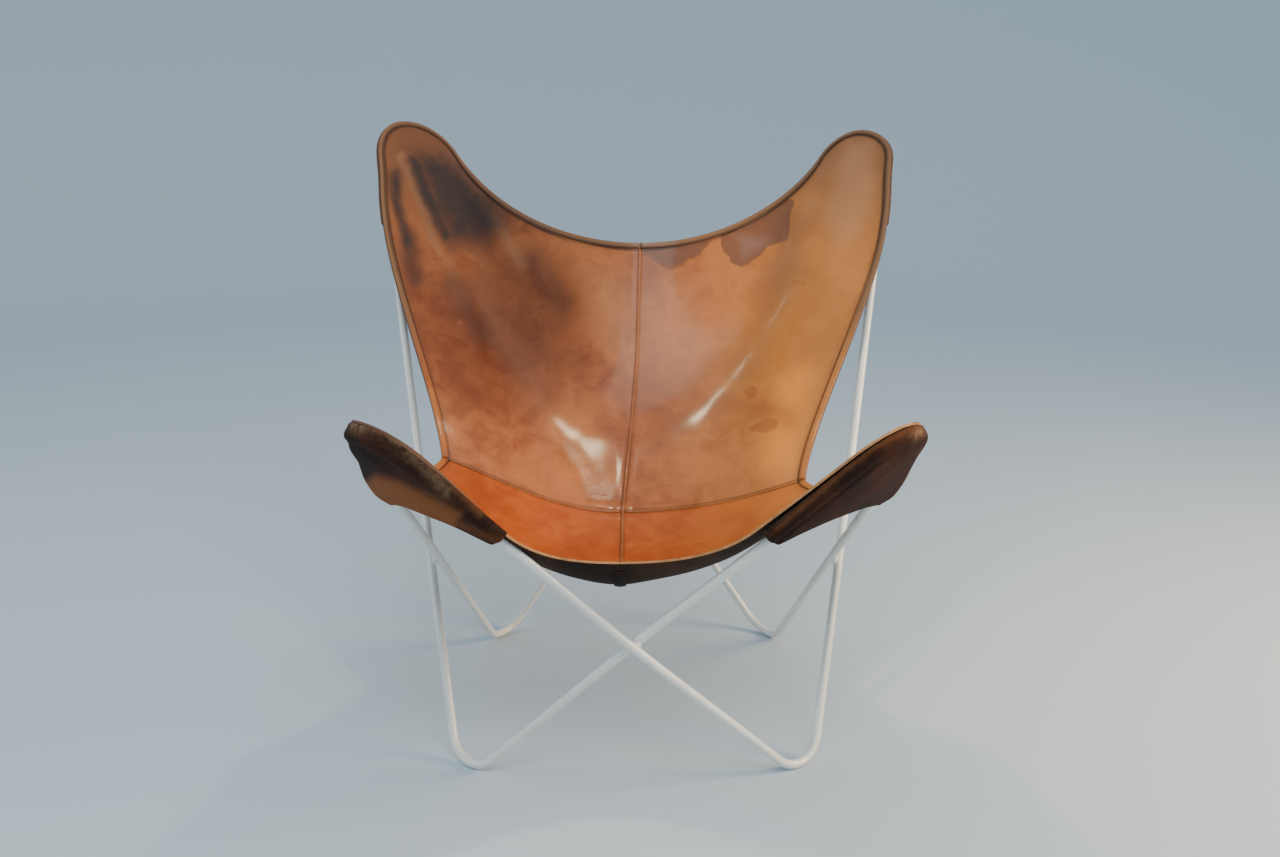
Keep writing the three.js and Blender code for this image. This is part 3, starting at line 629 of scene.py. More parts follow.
class Tree:
    """Small helper for node graphs: makes a node, sets its values and links its inputs."""

    def __init__(self, name):
        self.material = bpy.data.materials.new(name)
        self.material.use_nodes = True
        self.tree = self.material.node_tree
        self.tree.nodes.clear()
        self.where = self.add("TexCoord").outputs["Object"]

    def put(self, socket, value):
        if isinstance(value, bpy.types.NodeSocket):
            self.tree.links.new(value, socket)
        else:
            socket.default_value = value

    def add(self, kind, inputs=None, **settings):
        node = self.tree.nodes.new("ShaderNode" + kind)
        for key, value in settings.items():
            setattr(node, key, value)
        for key, value in (inputs or {}).items():
            self.put(node.inputs[key], value)
        return node

    def noise(self, scale, detail=4.0, rough=0.55, distortion=0.0, vector=None):
        inputs = {"Scale": scale, "Detail": detail, "Roughness": rough, "Distortion": distortion,
                  "Vector": self.where if vector is None else vector}
        return self.add("TexNoise", inputs).outputs["Fac"]

    def cells(self, scale, feature):
        inputs = {"Vector": self.where, "Scale": scale}
        return self.add("TexVoronoi", inputs, feature=feature).outputs["Distance"]

    def scaled(self, scale):
        return self.add("Mapping", {"Vector": self.where, "Scale": scale}).outputs["Vector"]

    def math(self, operation, a, b=0.0):
        return self.add("Math", {0: a, 1: b}, operation=operation).outputs[0]

    def times(self, a, b):
        return self.math("MULTIPLY", a, b)

    def plus(self, a, b):
        return self.math("ADD", a, b)

    def minus(self, a, b):
        return self.math("SUBTRACT", a, b)

    def ramp(self, value, low, high, out_low=0.0, out_high=1.0):
        inputs = {"Value": value, "From Min": low, "From Max": high,
                  "To Min": out_low, "To Max": out_high}
        return self.add("MapRange", inputs, interpolation_type="SMOOTHSTEP").outputs["Result"]

    def mix(self, share, a, b, blend="MIX"):
        node = self.add("Mix", data_type="RGBA", blend_type=blend)
        for key, value in (("Factor", share), ("A", a), ("B", b)):
            socket = next(s for s in node.inputs if s.name == key and s.enabled)
            self.put(socket, (*value, 1.0) if isinstance(value, tuple) else value)
        return next(s for s in node.outputs if s.enabled)

    def tint(self, share, color, by):
        return self.mix(share, color, self.mix(1.0, color, by, "MULTIPLY"))

    def attribute(self, name):
        return self.add("Attribute", attribute_name=name).outputs["Fac"]

    def mark(self, color, name, most, other):
        """Turns a colour into another one where an attribute of the mesh says so."""
        return self.mix(self.ramp(self.attribute(name), 0.0, 1.0, 0.0, most), color, other)

    def bump(self, height, strength, distance, normal=None):
        inputs = {"Height": height, "Strength": strength, "Distance": distance}
        if normal is not None:
            inputs["Normal"] = normal
        return self.add("Bump", inputs).outputs["Normal"]

    def finish(self, color, roughness, normal, **uniform):
        inputs = {"Base Color": color, "Roughness": roughness, "Normal": normal}
        inputs |= {key.replace("_", " "): value for key, value in uniform.items()}
        shader = self.add("BsdfPrincipled", inputs)
        self.add("OutputMaterial", {"Surface": shader.outputs[0]})
        return self.material


# Colours of the leather's marks, with the most that each may cover. The golden colour is painted
# warm light towards the right of the chair; in the table the first colour is a painted warm
# highlight, the second a darker red-brown and the third a painted pale sheen.
PAINTED_WARM_LIGHT = (0.6, (0.58, 0.225, 0.045))
TONE_AND_HIGHLIGHT_MARKS = {
    "painted_highlight": (0.7, (0.86, 0.30, 0.035)),
    "red": (0.75, (0.17, 0.040, 0.014)),
    "pale": (0.6, (0.42, 0.20, 0.10)),
}
# the first is the near-black painted shade of the fold hollows; the second the colour of the dark
# grooves
FOLD_SHADE, GROOVE = (0.018, 0.013, 0.012), (0.022, 0.009, 0.005)
RUBBED, SCUFF = (0.12, 0.042, 0.016), (0.5, 0.25, 0.10)
STAIN, COOL_STAIN, STAIN_RIM = (0.085, 0.038, 0.028), (0.155, 0.115, 0.115), (0.10, 0.036, 0.018)
SPOT, DIRT = (0.22, 0.050, 0.016), (0.09, 0.04, 0.02)
FINE_TINT, SHADE_TINT = (0.70, 0.62, 0.55), (0.48, 0.46, 0.44)
NAP_TINT, STREAK_TINT = (0.55, 0.5, 0.47), (1.6, 1.4, 1.3)


def leather_grain(t):
    """Height of the hide's pebbled grain, pores and creases."""
    shown = t.ramp(t.noise(30, 3), 0.4, 0.65)
    crease = t.ramp(t.cells(150, "DISTANCE_TO_EDGE"), 0.0, 0.12, -1.0, 0.0)
    base = t.plus(t.times(t.cells(620, "F1"), 0.6), t.times(t.noise(1500, 3, 0.6), 0.5))
    return t.plus(base, t.times(t.times(crease, 0.35), shown))


def saddle_leather(name, pale, deep, tip=None, marked=False):
    """Glossy grain side of the hide, with painted warm light towards the right of the chair. The
    marked one has the stains and marks of long use, painted shade and painted highlights.
    """
    t = Tree(name)
    mottle = t.noise(24, 6, 0.62, 0.8)
    fine = t.noise(170, 5, 0.6)
    blend = t.plus(t.times(t.noise(5.5, 3, 0.5, 0.6), 0.75), t.times(mottle, 0.45))
    color = t.mix(t.ramp(blend, 0.46, 0.74), deep, pale)
    # painted warm light, growing towards the right of the chair
    color = t.mark(color, "painted_warm_light", *PAINTED_WARM_LIGHT)
    if tip:
        color = t.mix(t.times(t.attribute("tip"), 0.85), color, tip)
    if marked:
        # painted highlights and painted sheen, and a darker red-brown, where the marks say so
        for kind, (most, other) in TONE_AND_HIGHLIGHT_MARKS.items():
            color = t.mark(color, kind, most, other)
    color = t.tint(t.times(fine, 0.3), color, FINE_TINT)
    if marked:
        color = t.tint(t.attribute("shade"), color, SHADE_TINT)
        # painted shade in the left lobe's fold hollows, near black, broken up by the mottle
        broken_fold_shade = t.times(t.attribute("dark"), t.ramp(mottle, 0.3, 0.7, 0.82, 1.12))
        color = t.mix(t.ramp(broken_fold_shade, 0.0, 1.0, 0.0, 0.95), color, FOLD_SHADE)
        blot = t.times(t.minus(t.noise(60, 5, 0.6, 0.4), 0.5), 0.7)
        stain = t.plus(t.attribute("stain"), blot)
        stained = t.mix(t.attribute("cool"), STAIN, COOL_STAIN)
        color = t.mix(t.times(t.ramp(stain, 0.36, 0.66), 0.74), color, stained)
        rim = t.times(t.ramp(stain, 0.36, 0.48), t.ramp(stain, 0.48, 0.62, 1.0, 0.0))
        color = t.mix(t.times(rim, 0.4), color, STAIN_RIM)
        color = t.mix(t.ramp(t.plus(t.attribute("spot"), blot), 0.42, 0.75, 0.0, 0.5), color, SPOT)
    worn = t.ramp(t.plus(t.attribute("edge"), t.times(mottle, 14)), 10, 34, 0.45, 0.0)
    color = t.mix(worn, color, RUBBED)
    groove = t.attribute("groove")
    color = t.mix(groove, color, GROOVE)
    color = t.mix(t.ramp(t.noise(70, 8, 0.7, 1.2), 0.63, 0.72, 0.0, 0.12), color, SCUFF)
    rough = t.plus(t.ramp(mottle, 0.3, 0.75, 0.34, 0.48), t.times(fine, 0.08))
    rough = t.plus(rough, t.times(groove, 0.3))
    normal = t.bump(leather_grain(t), 0.32, 0.0006)
    if marked:
        lines = t.noise(1.0, 4, 0.6, 0.5, t.scaled((34, 34, 300)))
        crease = t.ramp(t.math("ABSOLUTE", t.minus(lines, 0.5)), 0.0, 0.10)
        normal = t.bump(t.times(crease, t.attribute("wrinkle")), 0.8, 0.0006, normal)
    normal = t.bump(mottle, 0.12, 0.004, normal)
    return t.finish(color, rough, normal, Specular_IOR_Level=0.19, Coat_Weight=0.16,
                    Coat_Roughness=0.13)


def flesh_leather(name, pale, deep, glow, worn=None):
    """Dark, matt, brushed side of the hide."""
    t = Tree(name)
    nap = t.noise(240, 8, 0.75)
    streaks = t.noise(3, 5, 0.65, vector=t.scaled((60, 60, 14)))
    color = t.mix(t.ramp(t.noise(9, 4, 0.6, 0.5), 0.4, 0.7), deep, pale)
    color = t.tint(t.ramp(streaks, 0.5, 0.75, 0.0, 0.4), color, STREAK_TINT)
    color = t.mark(color, "glow", 0.9, glow)
    if worn:
        rubbed = t.ramp(t.noise(60, 7, 0.7, 0.9), 0.38, 0.62, 0.25, 1.0)
        color = t.mix(t.times(t.attribute("worn"), rubbed), color, worn)
        scraped = t.times(t.attribute("worn"), t.ramp(t.noise(110, 6, 0.7), 0.6, 0.68))
        color = t.mix(t.times(scraped, 0.6), color, tuple(c * 1.9 for c in worn))
    color = t.tint(t.times(nap, 0.5), color, NAP_TINT)
    normal = t.bump(streaks, 0.2, 0.002, t.bump(nap, 0.4, 0.0010))
    return t.finish(color, t.ramp(nap, 0.3, 0.7, 0.78, 0.95), normal, Specular_IOR_Level=0.18)


def cut_leather(name, color_a, color_b, wing=None):
    t = Tree(name)
    layers = t.noise(420, 6, 0.7)
    color = t.mix(t.ramp(layers, 0.35, 0.7), color_a, color_b)
    color = t.mix(t.ramp(t.noise(40, 5, 0.6), 0.45, 0.75, 0.0, 0.6), color, DIRT)
    if wing:
        color = t.mix(t.attribute("wing"), color, wing)
    return t.finish(color, t.ramp(layers, 0.3, 0.7, 0.5, 0.75), t.bump(layers, 0.5, 0.0008),
                    Specular_IOR_Level=0.4)


def lacquer(name):
    t = Tree(name)
    color = t.mix(t.ramp(t.noise(7, 3, 0.5), 0.35, 0.7), (0.76, 0.76, 0.70), (0.84, 0.84, 0.79))
    grime = t.noise(34, 4)
    color = t.mix(t.ramp(grime, 0.55, 0.85, 0.0, 0.3), color, (0.50, 0.46, 0.38))
    chips = t.ramp(t.noise(95, 4, 0.55, 0.3), 0.735, 0.75)
    chip = t.times(chips, t.ramp(t.noise(11, 2), 0.5, 0.62))
    color = t.mix(chip, color, (0.09, 0.075, 0.065))
    rough = t.plus(t.ramp(grime, 0.4, 0.8, 0.26, 0.42), t.times(chip, 0.35))
    normal = t.bump(t.noise(700, 3, 0.5), 0.05, 0.0005)
    normal = t.bump(t.minus(1.0, chip), 0.5, 0.0004, normal)
    return t.finish(color, rough, normal, Specular_IOR_Level=0.5, Coat_Weight=0.3,
                    Coat_Roughness=0.12)


def thread_material(name, color_a, color_b):
    t = Tree(name)
    twist = t.noise(2200, 3, 0.6)
    color = t.mix(t.ramp(twist, 0.3, 0.7), color_a, color_b)
    return t.finish(color, t.ramp(twist, 0.3, 0.7, 0.55, 0.8), t.bump(twist, 0.6, 0.0004),
                    Specular_IOR_Level=0.3)


MAT_BACK = saddle_leather("saddle_leather_back", (0.42, 0.138, 0.045), (0.22, 0.056, 0.017),
                          (0.20, 0.085, 0.035), True)
MAT_SEAT = saddle_leather("saddle_leather_seat", (0.47, 0.102, 0.014), (0.31, 0.056, 0.008))
MAT_FLESH = flesh_leather("flesh_side", (0.060, 0.026, 0.013), (0.022, 0.011, 0.007),
                          (0.12, 0.045, 0.02))
MAT_POCKET = flesh_leather("pocket_hide", (0.052, 0.012, 0.004), (0.016, 0.004, 0.002),
                           (0.29, 0.088, 0.020), (0.27, 0.150, 0.080))
MAT_CUT = cut_leather("cut_edge", (0.13, 0.060, 0.028), (0.06, 0.028, 0.015))
MAT_RIM = cut_leather("rim_edge", (0.52, 0.25, 0.09), (0.34, 0.13, 0.04), (0.12, 0.050, 0.024))
MAT_BAND = saddle_leather("edge_band", (0.40, 0.13, 0.032), (0.26, 0.072, 0.016),
                          (0.16, 0.090, 0.050))
MAT_WELT = saddle_leather("seam_welt", (0.34, 0.115, 0.035), (0.21, 0.062, 0.018))
MAT_TAPE = flesh_leather("seam_tape", (0.03, 0.014, 0.009), (0.014, 0.008, 0.006),
                         (0.05, 0.02, 0.01))
MAT_LACQUER = lacquer("cream_lacquer")
MAT_WELD = lacquer("weld_lacquer")
MAT_THREAD = thread_material("thread", (0.20, 0.095, 0.045), (0.10, 0.045, 0.022))


# Marks on the back's leather, placed in the photograph's pixels: a line or an area, the
# mark's strength, the softness of its border and its corners

LINE, AREA = "line", "area"

MARKS = {
    "shade": [
        (AREA, 0.5, 30, 560, 300, 600, 320, 590, 380, 540, 400, 470, 420, 430, 400, 470, 340),
        (AREA, 0.8, 42, 370, 100, 440, 100, 505, 195, 575, 262, 590, 310, 560, 372, 500, 404, 440,
         384, 405, 330, 380, 240),
        (AREA, 0.35, 30, 640, 236, 800, 200, 800, 250, 730, 280, 640, 280),
        (LINE, 0.7, 22, 795, 225, 782, 275, 764, 325, 748, 370),
    ],
    # painted shade: near-black streaks and patches along the hollows of the left lobe's folds
    "dark": [
        (LINE, 0.85, 8, 396, 176, 397, 202, 400, 230, 406, 248),
        (LINE, 0.95, 9, 413, 164, 424, 190, 436, 216, 447, 236),
        (AREA, 1.0, 16, 438, 158, 454, 172, 472, 188, 494, 208, 502, 226, 492, 238, 472, 232, 456,
         212, 444, 186),
        (AREA, 0.9, 22, 412, 152, 442, 152, 468, 168, 502, 206, 506, 228, 490, 244, 448, 250, 424,
         212),
        (LINE, 0.55, 16, 404, 240, 412, 275),
        (LINE, 0.5, 17, 450, 282, 464, 306, 484, 336),
        (LINE, 0.4, 15, 531, 252, 547, 276, 561, 300),
    ],
    "red": [
        (LINE, 0.9, 10, 530, 262, 546, 292),
        (LINE, 0.8, 11, 461, 286, 480, 332),
        (LINE, 0.8, 10, 406, 232, 413, 274),
        (AREA, 0.55, 24, 428, 280, 500, 252, 570, 262, 588, 340, 570, 420, 500, 430, 436, 396),
        (LINE, 0.5, 14, 660, 440, 720, 400, 790, 420),
    ],
    # painted sheen: pale streaks along the lobes' fold ridges, a pale patch on the right lobe and a
    # pale haze of reflected light across the middle of the back
    "pale": [
        (AREA, 0.75, 16, 846, 140, 872, 144, 878, 190, 862, 240, 836, 250, 822, 222),
        (LINE, 0.9, 5.5, 402, 160, 417, 192, 427, 220, 437, 252),
        (LINE, 0.75, 7.5, 466, 182, 494, 219, 524, 264),
        (LINE, 0.5, 10, 446, 262, 462, 300),
        (AREA, 0.5, 26, 580, 262, 700, 276, 716, 350, 690, 400, 620, 396, 590, 330),
        (LINE, 0.55, 10, 866, 148, 852, 190, 840, 232),
        (LINE, 0.5, 10, 815, 203, 790, 242, 770, 276),
    ],
    "stain": [
        (AREA, 0.8, 7, 640, 236, 642, 256, 656, 264, 671, 272, 700, 257, 713, 240, 718, 222),
        (AREA, 1.0, 4, 722, 222, 721, 246, 730, 263, 740, 267, 760, 257, 768, 244, 787, 240, 790,
         224, 796, 200, 776, 196),
    ],
    # painted highlight: a warm glow near the right crotch and over the right of the back, and a
    # weaker one over the lit lower left of the back
    "painted_highlight": [
        (AREA, 0.9, 26, 772, 372, 812, 366, 806, 440, 796, 474, 760, 470),
        (AREA, 0.45, 30, 730, 300, 800, 300, 796, 400, 730, 420),
        (AREA, 0.35, 22, 545, 400, 600, 395, 612, 490, 560, 490),
    ],
    "cool": [
        (AREA, 0.7, 10, 740, 238, 743, 256, 760, 250, 766, 236),
    ],
    "spot": [
        (AREA, 0.85, 4, 742, 389, 751, 384, 757, 388, 753, 400, 745, 402),
        (AREA, 0.8, 5, 748, 426, 764, 420, 780, 422, 779, 433, 764, 437, 750, 435),
        (LINE, 0.8, 4, 792, 281, 803, 284),
        (LINE, 0.7, 8, 559, 337, 573, 343),
        (LINE, 0.8, 8, 431, 364, 441, 376),
        (LINE, 0.5, 9, 540, 262, 556, 300),
    ],
    "wrinkle": [
        (AREA, 1.0, 12, 556, 436, 588, 432, 604, 452, 604, 492, 582, 494, 558, 470),
        (AREA, 0.35, 14, 690, 440, 730, 430, 760, 450, 740, 480, 700, 478),
    ],
}


def marks(u, v, rows):
    total = np.zeros(u.shape)
    for kind, strength, soft, *numbers in rows:
        corners = corners_of(numbers)
        if kind == LINE:
            shown = bell(line_distance(u, v, corners), 0, soft)
        else:
            shown = smooth((area_depth(u, v, corners) + soft) / (2 * soft))
        total = np.maximum(total, strength * shown)
    return total


# How the marks' borders wander: seeds of the two directions, size in mm and reach in pixels
WANDER = ((41.0, 67.0, 60, 5.0), (53.0, 71.0, 14, 1.6))

# Golden light across the leather, in pixels, and by kind of piece its strength, the height from
# which the lobes are darker and the length over which they darken
GOLD_START, GOLD_FADE = 590, 250
LOOKS = {"back": (0.9, 690, 150), "seat": (0.7, 690, 150), "strip": (0.7, 500, 130)}
WING_START, WING_FADE = 150, 110


def paint(obj, points, edge, groove, kind):
    """Gives a piece the attributes that its material turns into marks, painted shade and painted
    light.
    """
    points = points.reshape(-1, 3)
    u, v = pixel(points)
    for seed_u, seed_v, size, reach in WANDER:
        u, v = u + waves(points, seed_u, size, reach), v + waves(points, seed_v, size, reach)
    painted_warm_light, low, fade = LOOKS[kind]
    give_attribute(obj, "edge", edge)
    give_attribute(obj, "groove", np.clip(groove, 0, 1))
    # painted warm light, growing towards the right of the picture
    give_attribute(obj, "painted_warm_light", smooth((u - GOLD_START) / GOLD_FADE) * painted_warm_light)
    give_attribute(obj, "tip", smooth((points[:, 2] - low) / fade))
    give_attribute(obj, "wing", smooth((-points[:, 0] - WING_START) / WING_FADE))
    if kind == "back":
        for name, rows in MARKS.items():
            give_attribute(obj, name, marks(u, v, rows))


# Rods and welds

def tube(name, node, route):
    count = len(route)
    tangents = unit(np.roll(route, -1, 0) - np.roll(route, 1, 0))
    frames = [unit(np.cross(tangents[0], FIRST_FRAME))]
    for tangent in [*tangents[1:], tangents[0]]:
        frames.append(unit(frames[-1] - tangent * (frames[-1] @ tangent)))
    closing = frames.pop()
    twist = math.atan2(np.cross(frames[0], closing) @ tangents[0], closing @ frames[0])
    around = 2 * math.pi * np.arange(ROD_SIDES) / ROD_SIDES
    turn = (around - twist * np.arange(count)[:, None] / count)[..., None]
    beside, across = np.array(frames)[:, None], np.cross(tangents, frames)[:, None]
    points = route[:, None] + (beside * np.cos(turn) + across * np.sin(turn)) * ROD_RADIUS
    points[..., 2] = np.maximum(points[..., 2], 0)
    faces = [tuple(i % (count * ROD_SIDES) for i in f)
             for f in grid_faces(count + 1, ROD_SIDES, closed=True)]
    piece(name, points + ORIGIN, faces, [MAT_LACQUER], node)


# Unevenness of the weld beads: size and share of the rough skin, and of the beads' rings
RIPPLE_SIZE, RIPPLE, BEAD_WAVE, BEAD_SEED = 2.6, 0.07, 0.03, 7.0


def weld_bead(name, node, crossing, seed):
    """A hand-laid bead: rings of weld round the crossing, with a rough, rippled skin."""
    n, u = crossing["normal"], crossing["along"]
    v = np.cross(n, u)
    points = []
    for t in np.linspace(0, math.pi, WELD_ROWS):
        for a in np.linspace(0, 2 * math.pi, WELD_COLUMNS, endpoint=False):
            out = (u * math.cos(a) + v * math.sin(a)) * math.sin(t)
            p = out * WELD_RADIUS + n * math.cos(t) * WELD_HALF_HEIGHT
            rough = field.noise(Vector(p / RIPPLE_SIZE) + Vector((seed * BEAD_SEED, 0, 0)))
            ripple = 1 + RIPPLE * rough + BEAD_WAVE * math.sin(5 * a + 9 * t)
            points.append(crossing["place"] + p * ripple)
    faces = grid_faces(WELD_ROWS, WELD_COLUMNS, flip=True, closed=True)
    piece(name, np.array(points) + ORIGIN, faces, [MAT_WELD], node)


def build_frame():
    for side, word in SIDES:
        corners, others = (RIGHT, LEFT)[::side]
        route = loop_route(corners, others, side, BEND_STEPS, ROD_STEPS)
        tube(f"rod_{word}", f"rod_loop_{word}", route)
    for index, place in enumerate(("front", "side_left", "rear", "side_right")):
        weld_bead(f"bead_{place}", f"weld_{place}", crossing_at(RIGHT, LEFT, index, 1), index)


# Sling

PANELS, TREES = {}, {}

# Dark lines beside the edge strips, the cross seam and the centre seam: place and width
BAND_LINE, SEAM_LINE, MIDDLE_LINE = (BAND_WIDTH + 1.6, 1.5), (1.0, 2.2), (3.1, 0.9)
BAND_SHADE, SEAM_SHADE, PANEL_BEVEL = 0.95, 0.8, 0.9

# Panels: kind, grain side, cut edge, which edge carries the strip, darkness of the centre line
PANEL_LOOKS = (("back", MAT_BACK, MAT_CUT, "edge", 0.6), ("seat", MAT_SEAT, MAT_RIM, "rear", 0.4))


def build_panels():
    for kind, grain, cut, off, middle_dark in PANEL_LOOKS:
        for side, word in SIDES:
            panel = PANELS[kind, side] = panel_grid(kind, side)
            g = panel["grid"]
            faces = grid_faces(ROWS, COLUMNS, (kind == "seat") != (side < 0))
            obj = piece(f"{kind}_hide_{word}", g, faces, [grain, MAT_FLESH, cut],
                        f"{kind}_panel_{word}")
            seam = bell(np.maximum(panel["seam"], SEAM_LINE[0]), *SEAM_LINE)
            middle = bell(panel["middle"], *MIDDLE_LINE)
            band = bell(panel[off], *BAND_LINE)
            groove = BAND_SHADE * band + SEAM_SHADE * seam + middle_dark * middle
            paint(obj, g, panel["edge"], groove, kind)
            thicken(obj, LEATHER, PANEL_BEVEL)
            cells = np.cross(g[1:, :-1] - g[:-1, :-1], g[:-1, 1:] - g[:-1, :-1])
            area = norm(cells, axis=2).sum()
            width, length = (norm(np.diff(g, axis=k), axis=2).sum(k).max() for k in (1, 0))
            TREES[kind, side] = BVHTree.FromPolygons([Vector(p) for p in g.reshape(-1, 3)], faces)


def surface(kind, side, point):
    """Nearest place on a panel's middle surface, with the normal on the sitter's side."""
    where, normal, _, _ = TREES[kind, side].find_nearest(Vector(point))
    return np.array(where), np.array(normal)


def nearest(point):
    """The same for all four panels."""
    found = [surface(kind, side, point) for kind in ("back", "seat") for side in (-1, 1)]
    return min(found, key=lambda r: norm(r[0] - point))


def inward_ways(kind, side, line):
    """From each place of a panel's edge, the way into the panel."""
    ways, last = [], PANELS[kind, side]["grid"][ROWS // 2, COLUMNS // 2] - line[0]
    for place, tangent in zip(line, unit(np.gradient(line, axis=0))):
        way = unit(np.cross(surface(kind, side, place)[1], tangent))
        last = -way if way @ last < 0 else way
        ways.append(last)
    return ways


def laid(path, across, offsets, lifts, find=nearest):
    """Rows of places on the leather: offsets lie across the path, lifts over the leather."""
    rows = []
    for place, way in zip(path, across):
        found = [find(place + way * offset) for offset in offsets]
        rows.append([p + n * lift for (p, n), lift in zip(found, lifts)])
    return np.array(rows)


STRIP_EDGE = 60.0
DARK_START, DARK_FADE = 540, 200


def strip_object(name, node, points, material, thickness=1.0, bevel=0, dark=None):
    rows, columns = points.shape[:2]
    middle = rows // 2
    first = points[middle, 0]
    n = np.cross(points[middle, -1] - first, points[middle + 1, 0] - first)
    kind = "seat" if name.startswith("seat") else "back"
    flip = n @ surface(kind, 1 if first[0] > 0 else -1, first)[1] < 0
    groove = np.zeros(rows * columns)
    if dark:
        groove = np.tile(dark, rows) * smooth((points[..., 2].ravel() - DARK_START) / DARK_FADE)
    materials = [material, material, MAT_CUT]
    obj = piece(name, points, grid_faces(rows, columns, flip), materials, node)
    paint(obj, points, np.full(rows * columns, STRIP_EDGE), groove, "strip")
    thicken(obj, thickness, bevel)


STITCH_PITCH, STITCH_LENGTH, STITCH_RADIUS = 4.6, 3.2, 0.30
STITCH_RINGS, STITCH_SIDES = 6, 6
STITCH_SLIM, STITCH_ARCH, STITCH_SINK, TANGENT_STEP = 0.35, 0.3, 0.2, 0.4


def stitches(name, path, find=nearest, lift=0.0):
    """A row of short thread stitches along a path, each a bent bead that dips at its ends."""
    normals = np.array([find(p)[1] for p in path])
    path = path + normals * lift
    count = int(lengths(path)[-1] / STITCH_PITCH)
    t = np.linspace(0, 1, STITCH_RINGS)
    at = ((np.arange(count)[:, None] + 0.5) * STITCH_PITCH + (t - 0.5) * STITCH_LENGTH).ravel()
    m = unit(along(path, at, normals))
    tangent = unit(along(path, at + TANGENT_STEP) - along(path, at - TANGENT_STEP) + TINY)
    side = unit(np.cross(m, tangent))
    arch = np.tile(np.maximum(np.sin(math.pi * t), 0), count)[:, None]
    size = STITCH_RADIUS * (STITCH_SLIM + (1 - STITCH_SLIM) * np.sqrt(arch))
    turn = 2 * math.pi * np.arange(STITCH_SIDES)[:, None] / STITCH_SIDES
    ring = side[:, None] * np.cos(turn) + m[:, None] * np.sin(turn)
    centre = along(path, at) + m * (STITCH_ARCH * arch - STITCH_SINK)
    points = centre[:, None] + ring * size[:, None]
    total = STITCH_RINGS * STITCH_SIDES
    bead = grid_faces(STITCH_RINGS, STITCH_SIDES, closed=True)
    bead += [tuple(range(STITCH_SIDES))[::-1], tuple(range(total - STITCH_SIDES, total))]
    faces = [tuple(i + k * total for i in f) for k in range(count) for f in bead]
    piece(name, points, faces, [MAT_THREAD])


# Sections of the strips: offsets across them, lifts over the leather and how dark they are
BAND_OFFSETS = [0.0, 0.5, 1.5, 2.8, 4.6, 6.4, 8.0, 8.9, 9.2]
BAND_LIFTS = [1.9, 2.2, 2.45, 2.55, 2.55, 2.5, 2.4, 2.15, 1.8]
BAND_DARK = [0.5, 0.2, 0.0, 0.0, 0.2, 0.6, 0.85, 0.9, 0.9]
WELT_OFFSETS = [-2.05, -1.9, -1.45, -0.75, 0.0, 0.75, 1.45, 1.9, 2.05]
WELT_LIFTS = [1.6, 2.1, 2.5, 2.7, 2.65, 2.7, 2.5, 2.1, 1.6]
CROSS_OFFSETS = [-2.0, -1.8, -1.0, -0.2, 0.8, 1.8, 2.6, 3.0]
CROSS_LIFTS = [1.5, 2.0, 2.4, 2.6, 2.6, 2.5, 2.1, 1.5]
TAPE_OFFSETS, TAPE_LIFTS = np.linspace(-TAPE_WIDTH / 2, TAPE_WIDTH / 2, 7), [-3.1] * 7
TAPE_THICKNESS, TAPE_BEVEL, TAPE_WAY = 1.3, 0.3, unit(vec(0, 0.35, 1.0))

# Where threads lie: columns of the bands' sections, offsets and lifts beside the welts
BAND_THREADS = {"back": (("outer_", 3), ("inner_", 6)), "seat": (("", 6),)}
BAND_THREAD_LIFT = 0.45
CENTRE_THREAD, CROSS_THREAD = (1.3, 2.75), (5.2, 2.0)

# What the strips leave free of the seams at their starts and ends
CENTRE_WELT_ENDS, CROSS_WELT_ENDS = (11, 1.5), (4.0, 12.5)
CENTRE_TAPE_ENDS, CROSS_TAPE_ENDS = (1.5, 20), (9.0, 2.0)
ABOVE_ROW, SEAT_BAND_END, BAND_GAP = 6, 8, 0.1


def build_bands():
    for side, word in SIDES:
        back, seat = (PANELS[kind, side]["grid"] for kind in ("back", "seat"))
        for kind, edge, dark in (("back", np.vstack([back[-1], back[-2::-1, -1]]), BAND_DARK),
                                 ("seat", seat[:-SEAT_BAND_END, -1], None)):
            find = partial(surface, kind, side)
            line = resample(smoothed(edge, 2), STRIP_STEP)
            points = laid(line, inward_ways(kind, side, line), BAND_OFFSETS, BAND_LIFTS, find)
            if kind == "back":
                points[0, :, 0] = back[-1, 0, 0] + side * BAND_GAP
            strip_object(f"{kind}_band_{word}", f"{kind}_edge_strip_{word}", points,
                         MAT_BAND, dark=dark)
            for row, column in BAND_THREADS[kind]:
                name = f"{kind}_band_thread_{row}{word}"
                stitches(name, points[:, column], find, BAND_THREAD_LIFT)


def centre_path(ends):
    back, seat = (PANELS[kind, 1]["grid"][:, 0] for kind in ("back", "seat"))
    line = np.vstack([back[::-1], seat[1:]])
    line[:, 0] -= HALF_SLIT
    return smoothed(trim(line, *ends), 3)


def cross_path(side, ends):
    return smoothed(trim(PANELS["back", side]["grid"][0], *ends), 2)


def welt_thread(name, path, across, offset, lift):
    stitches(name, laid(path, across, [offset], [lift])[:, 0])


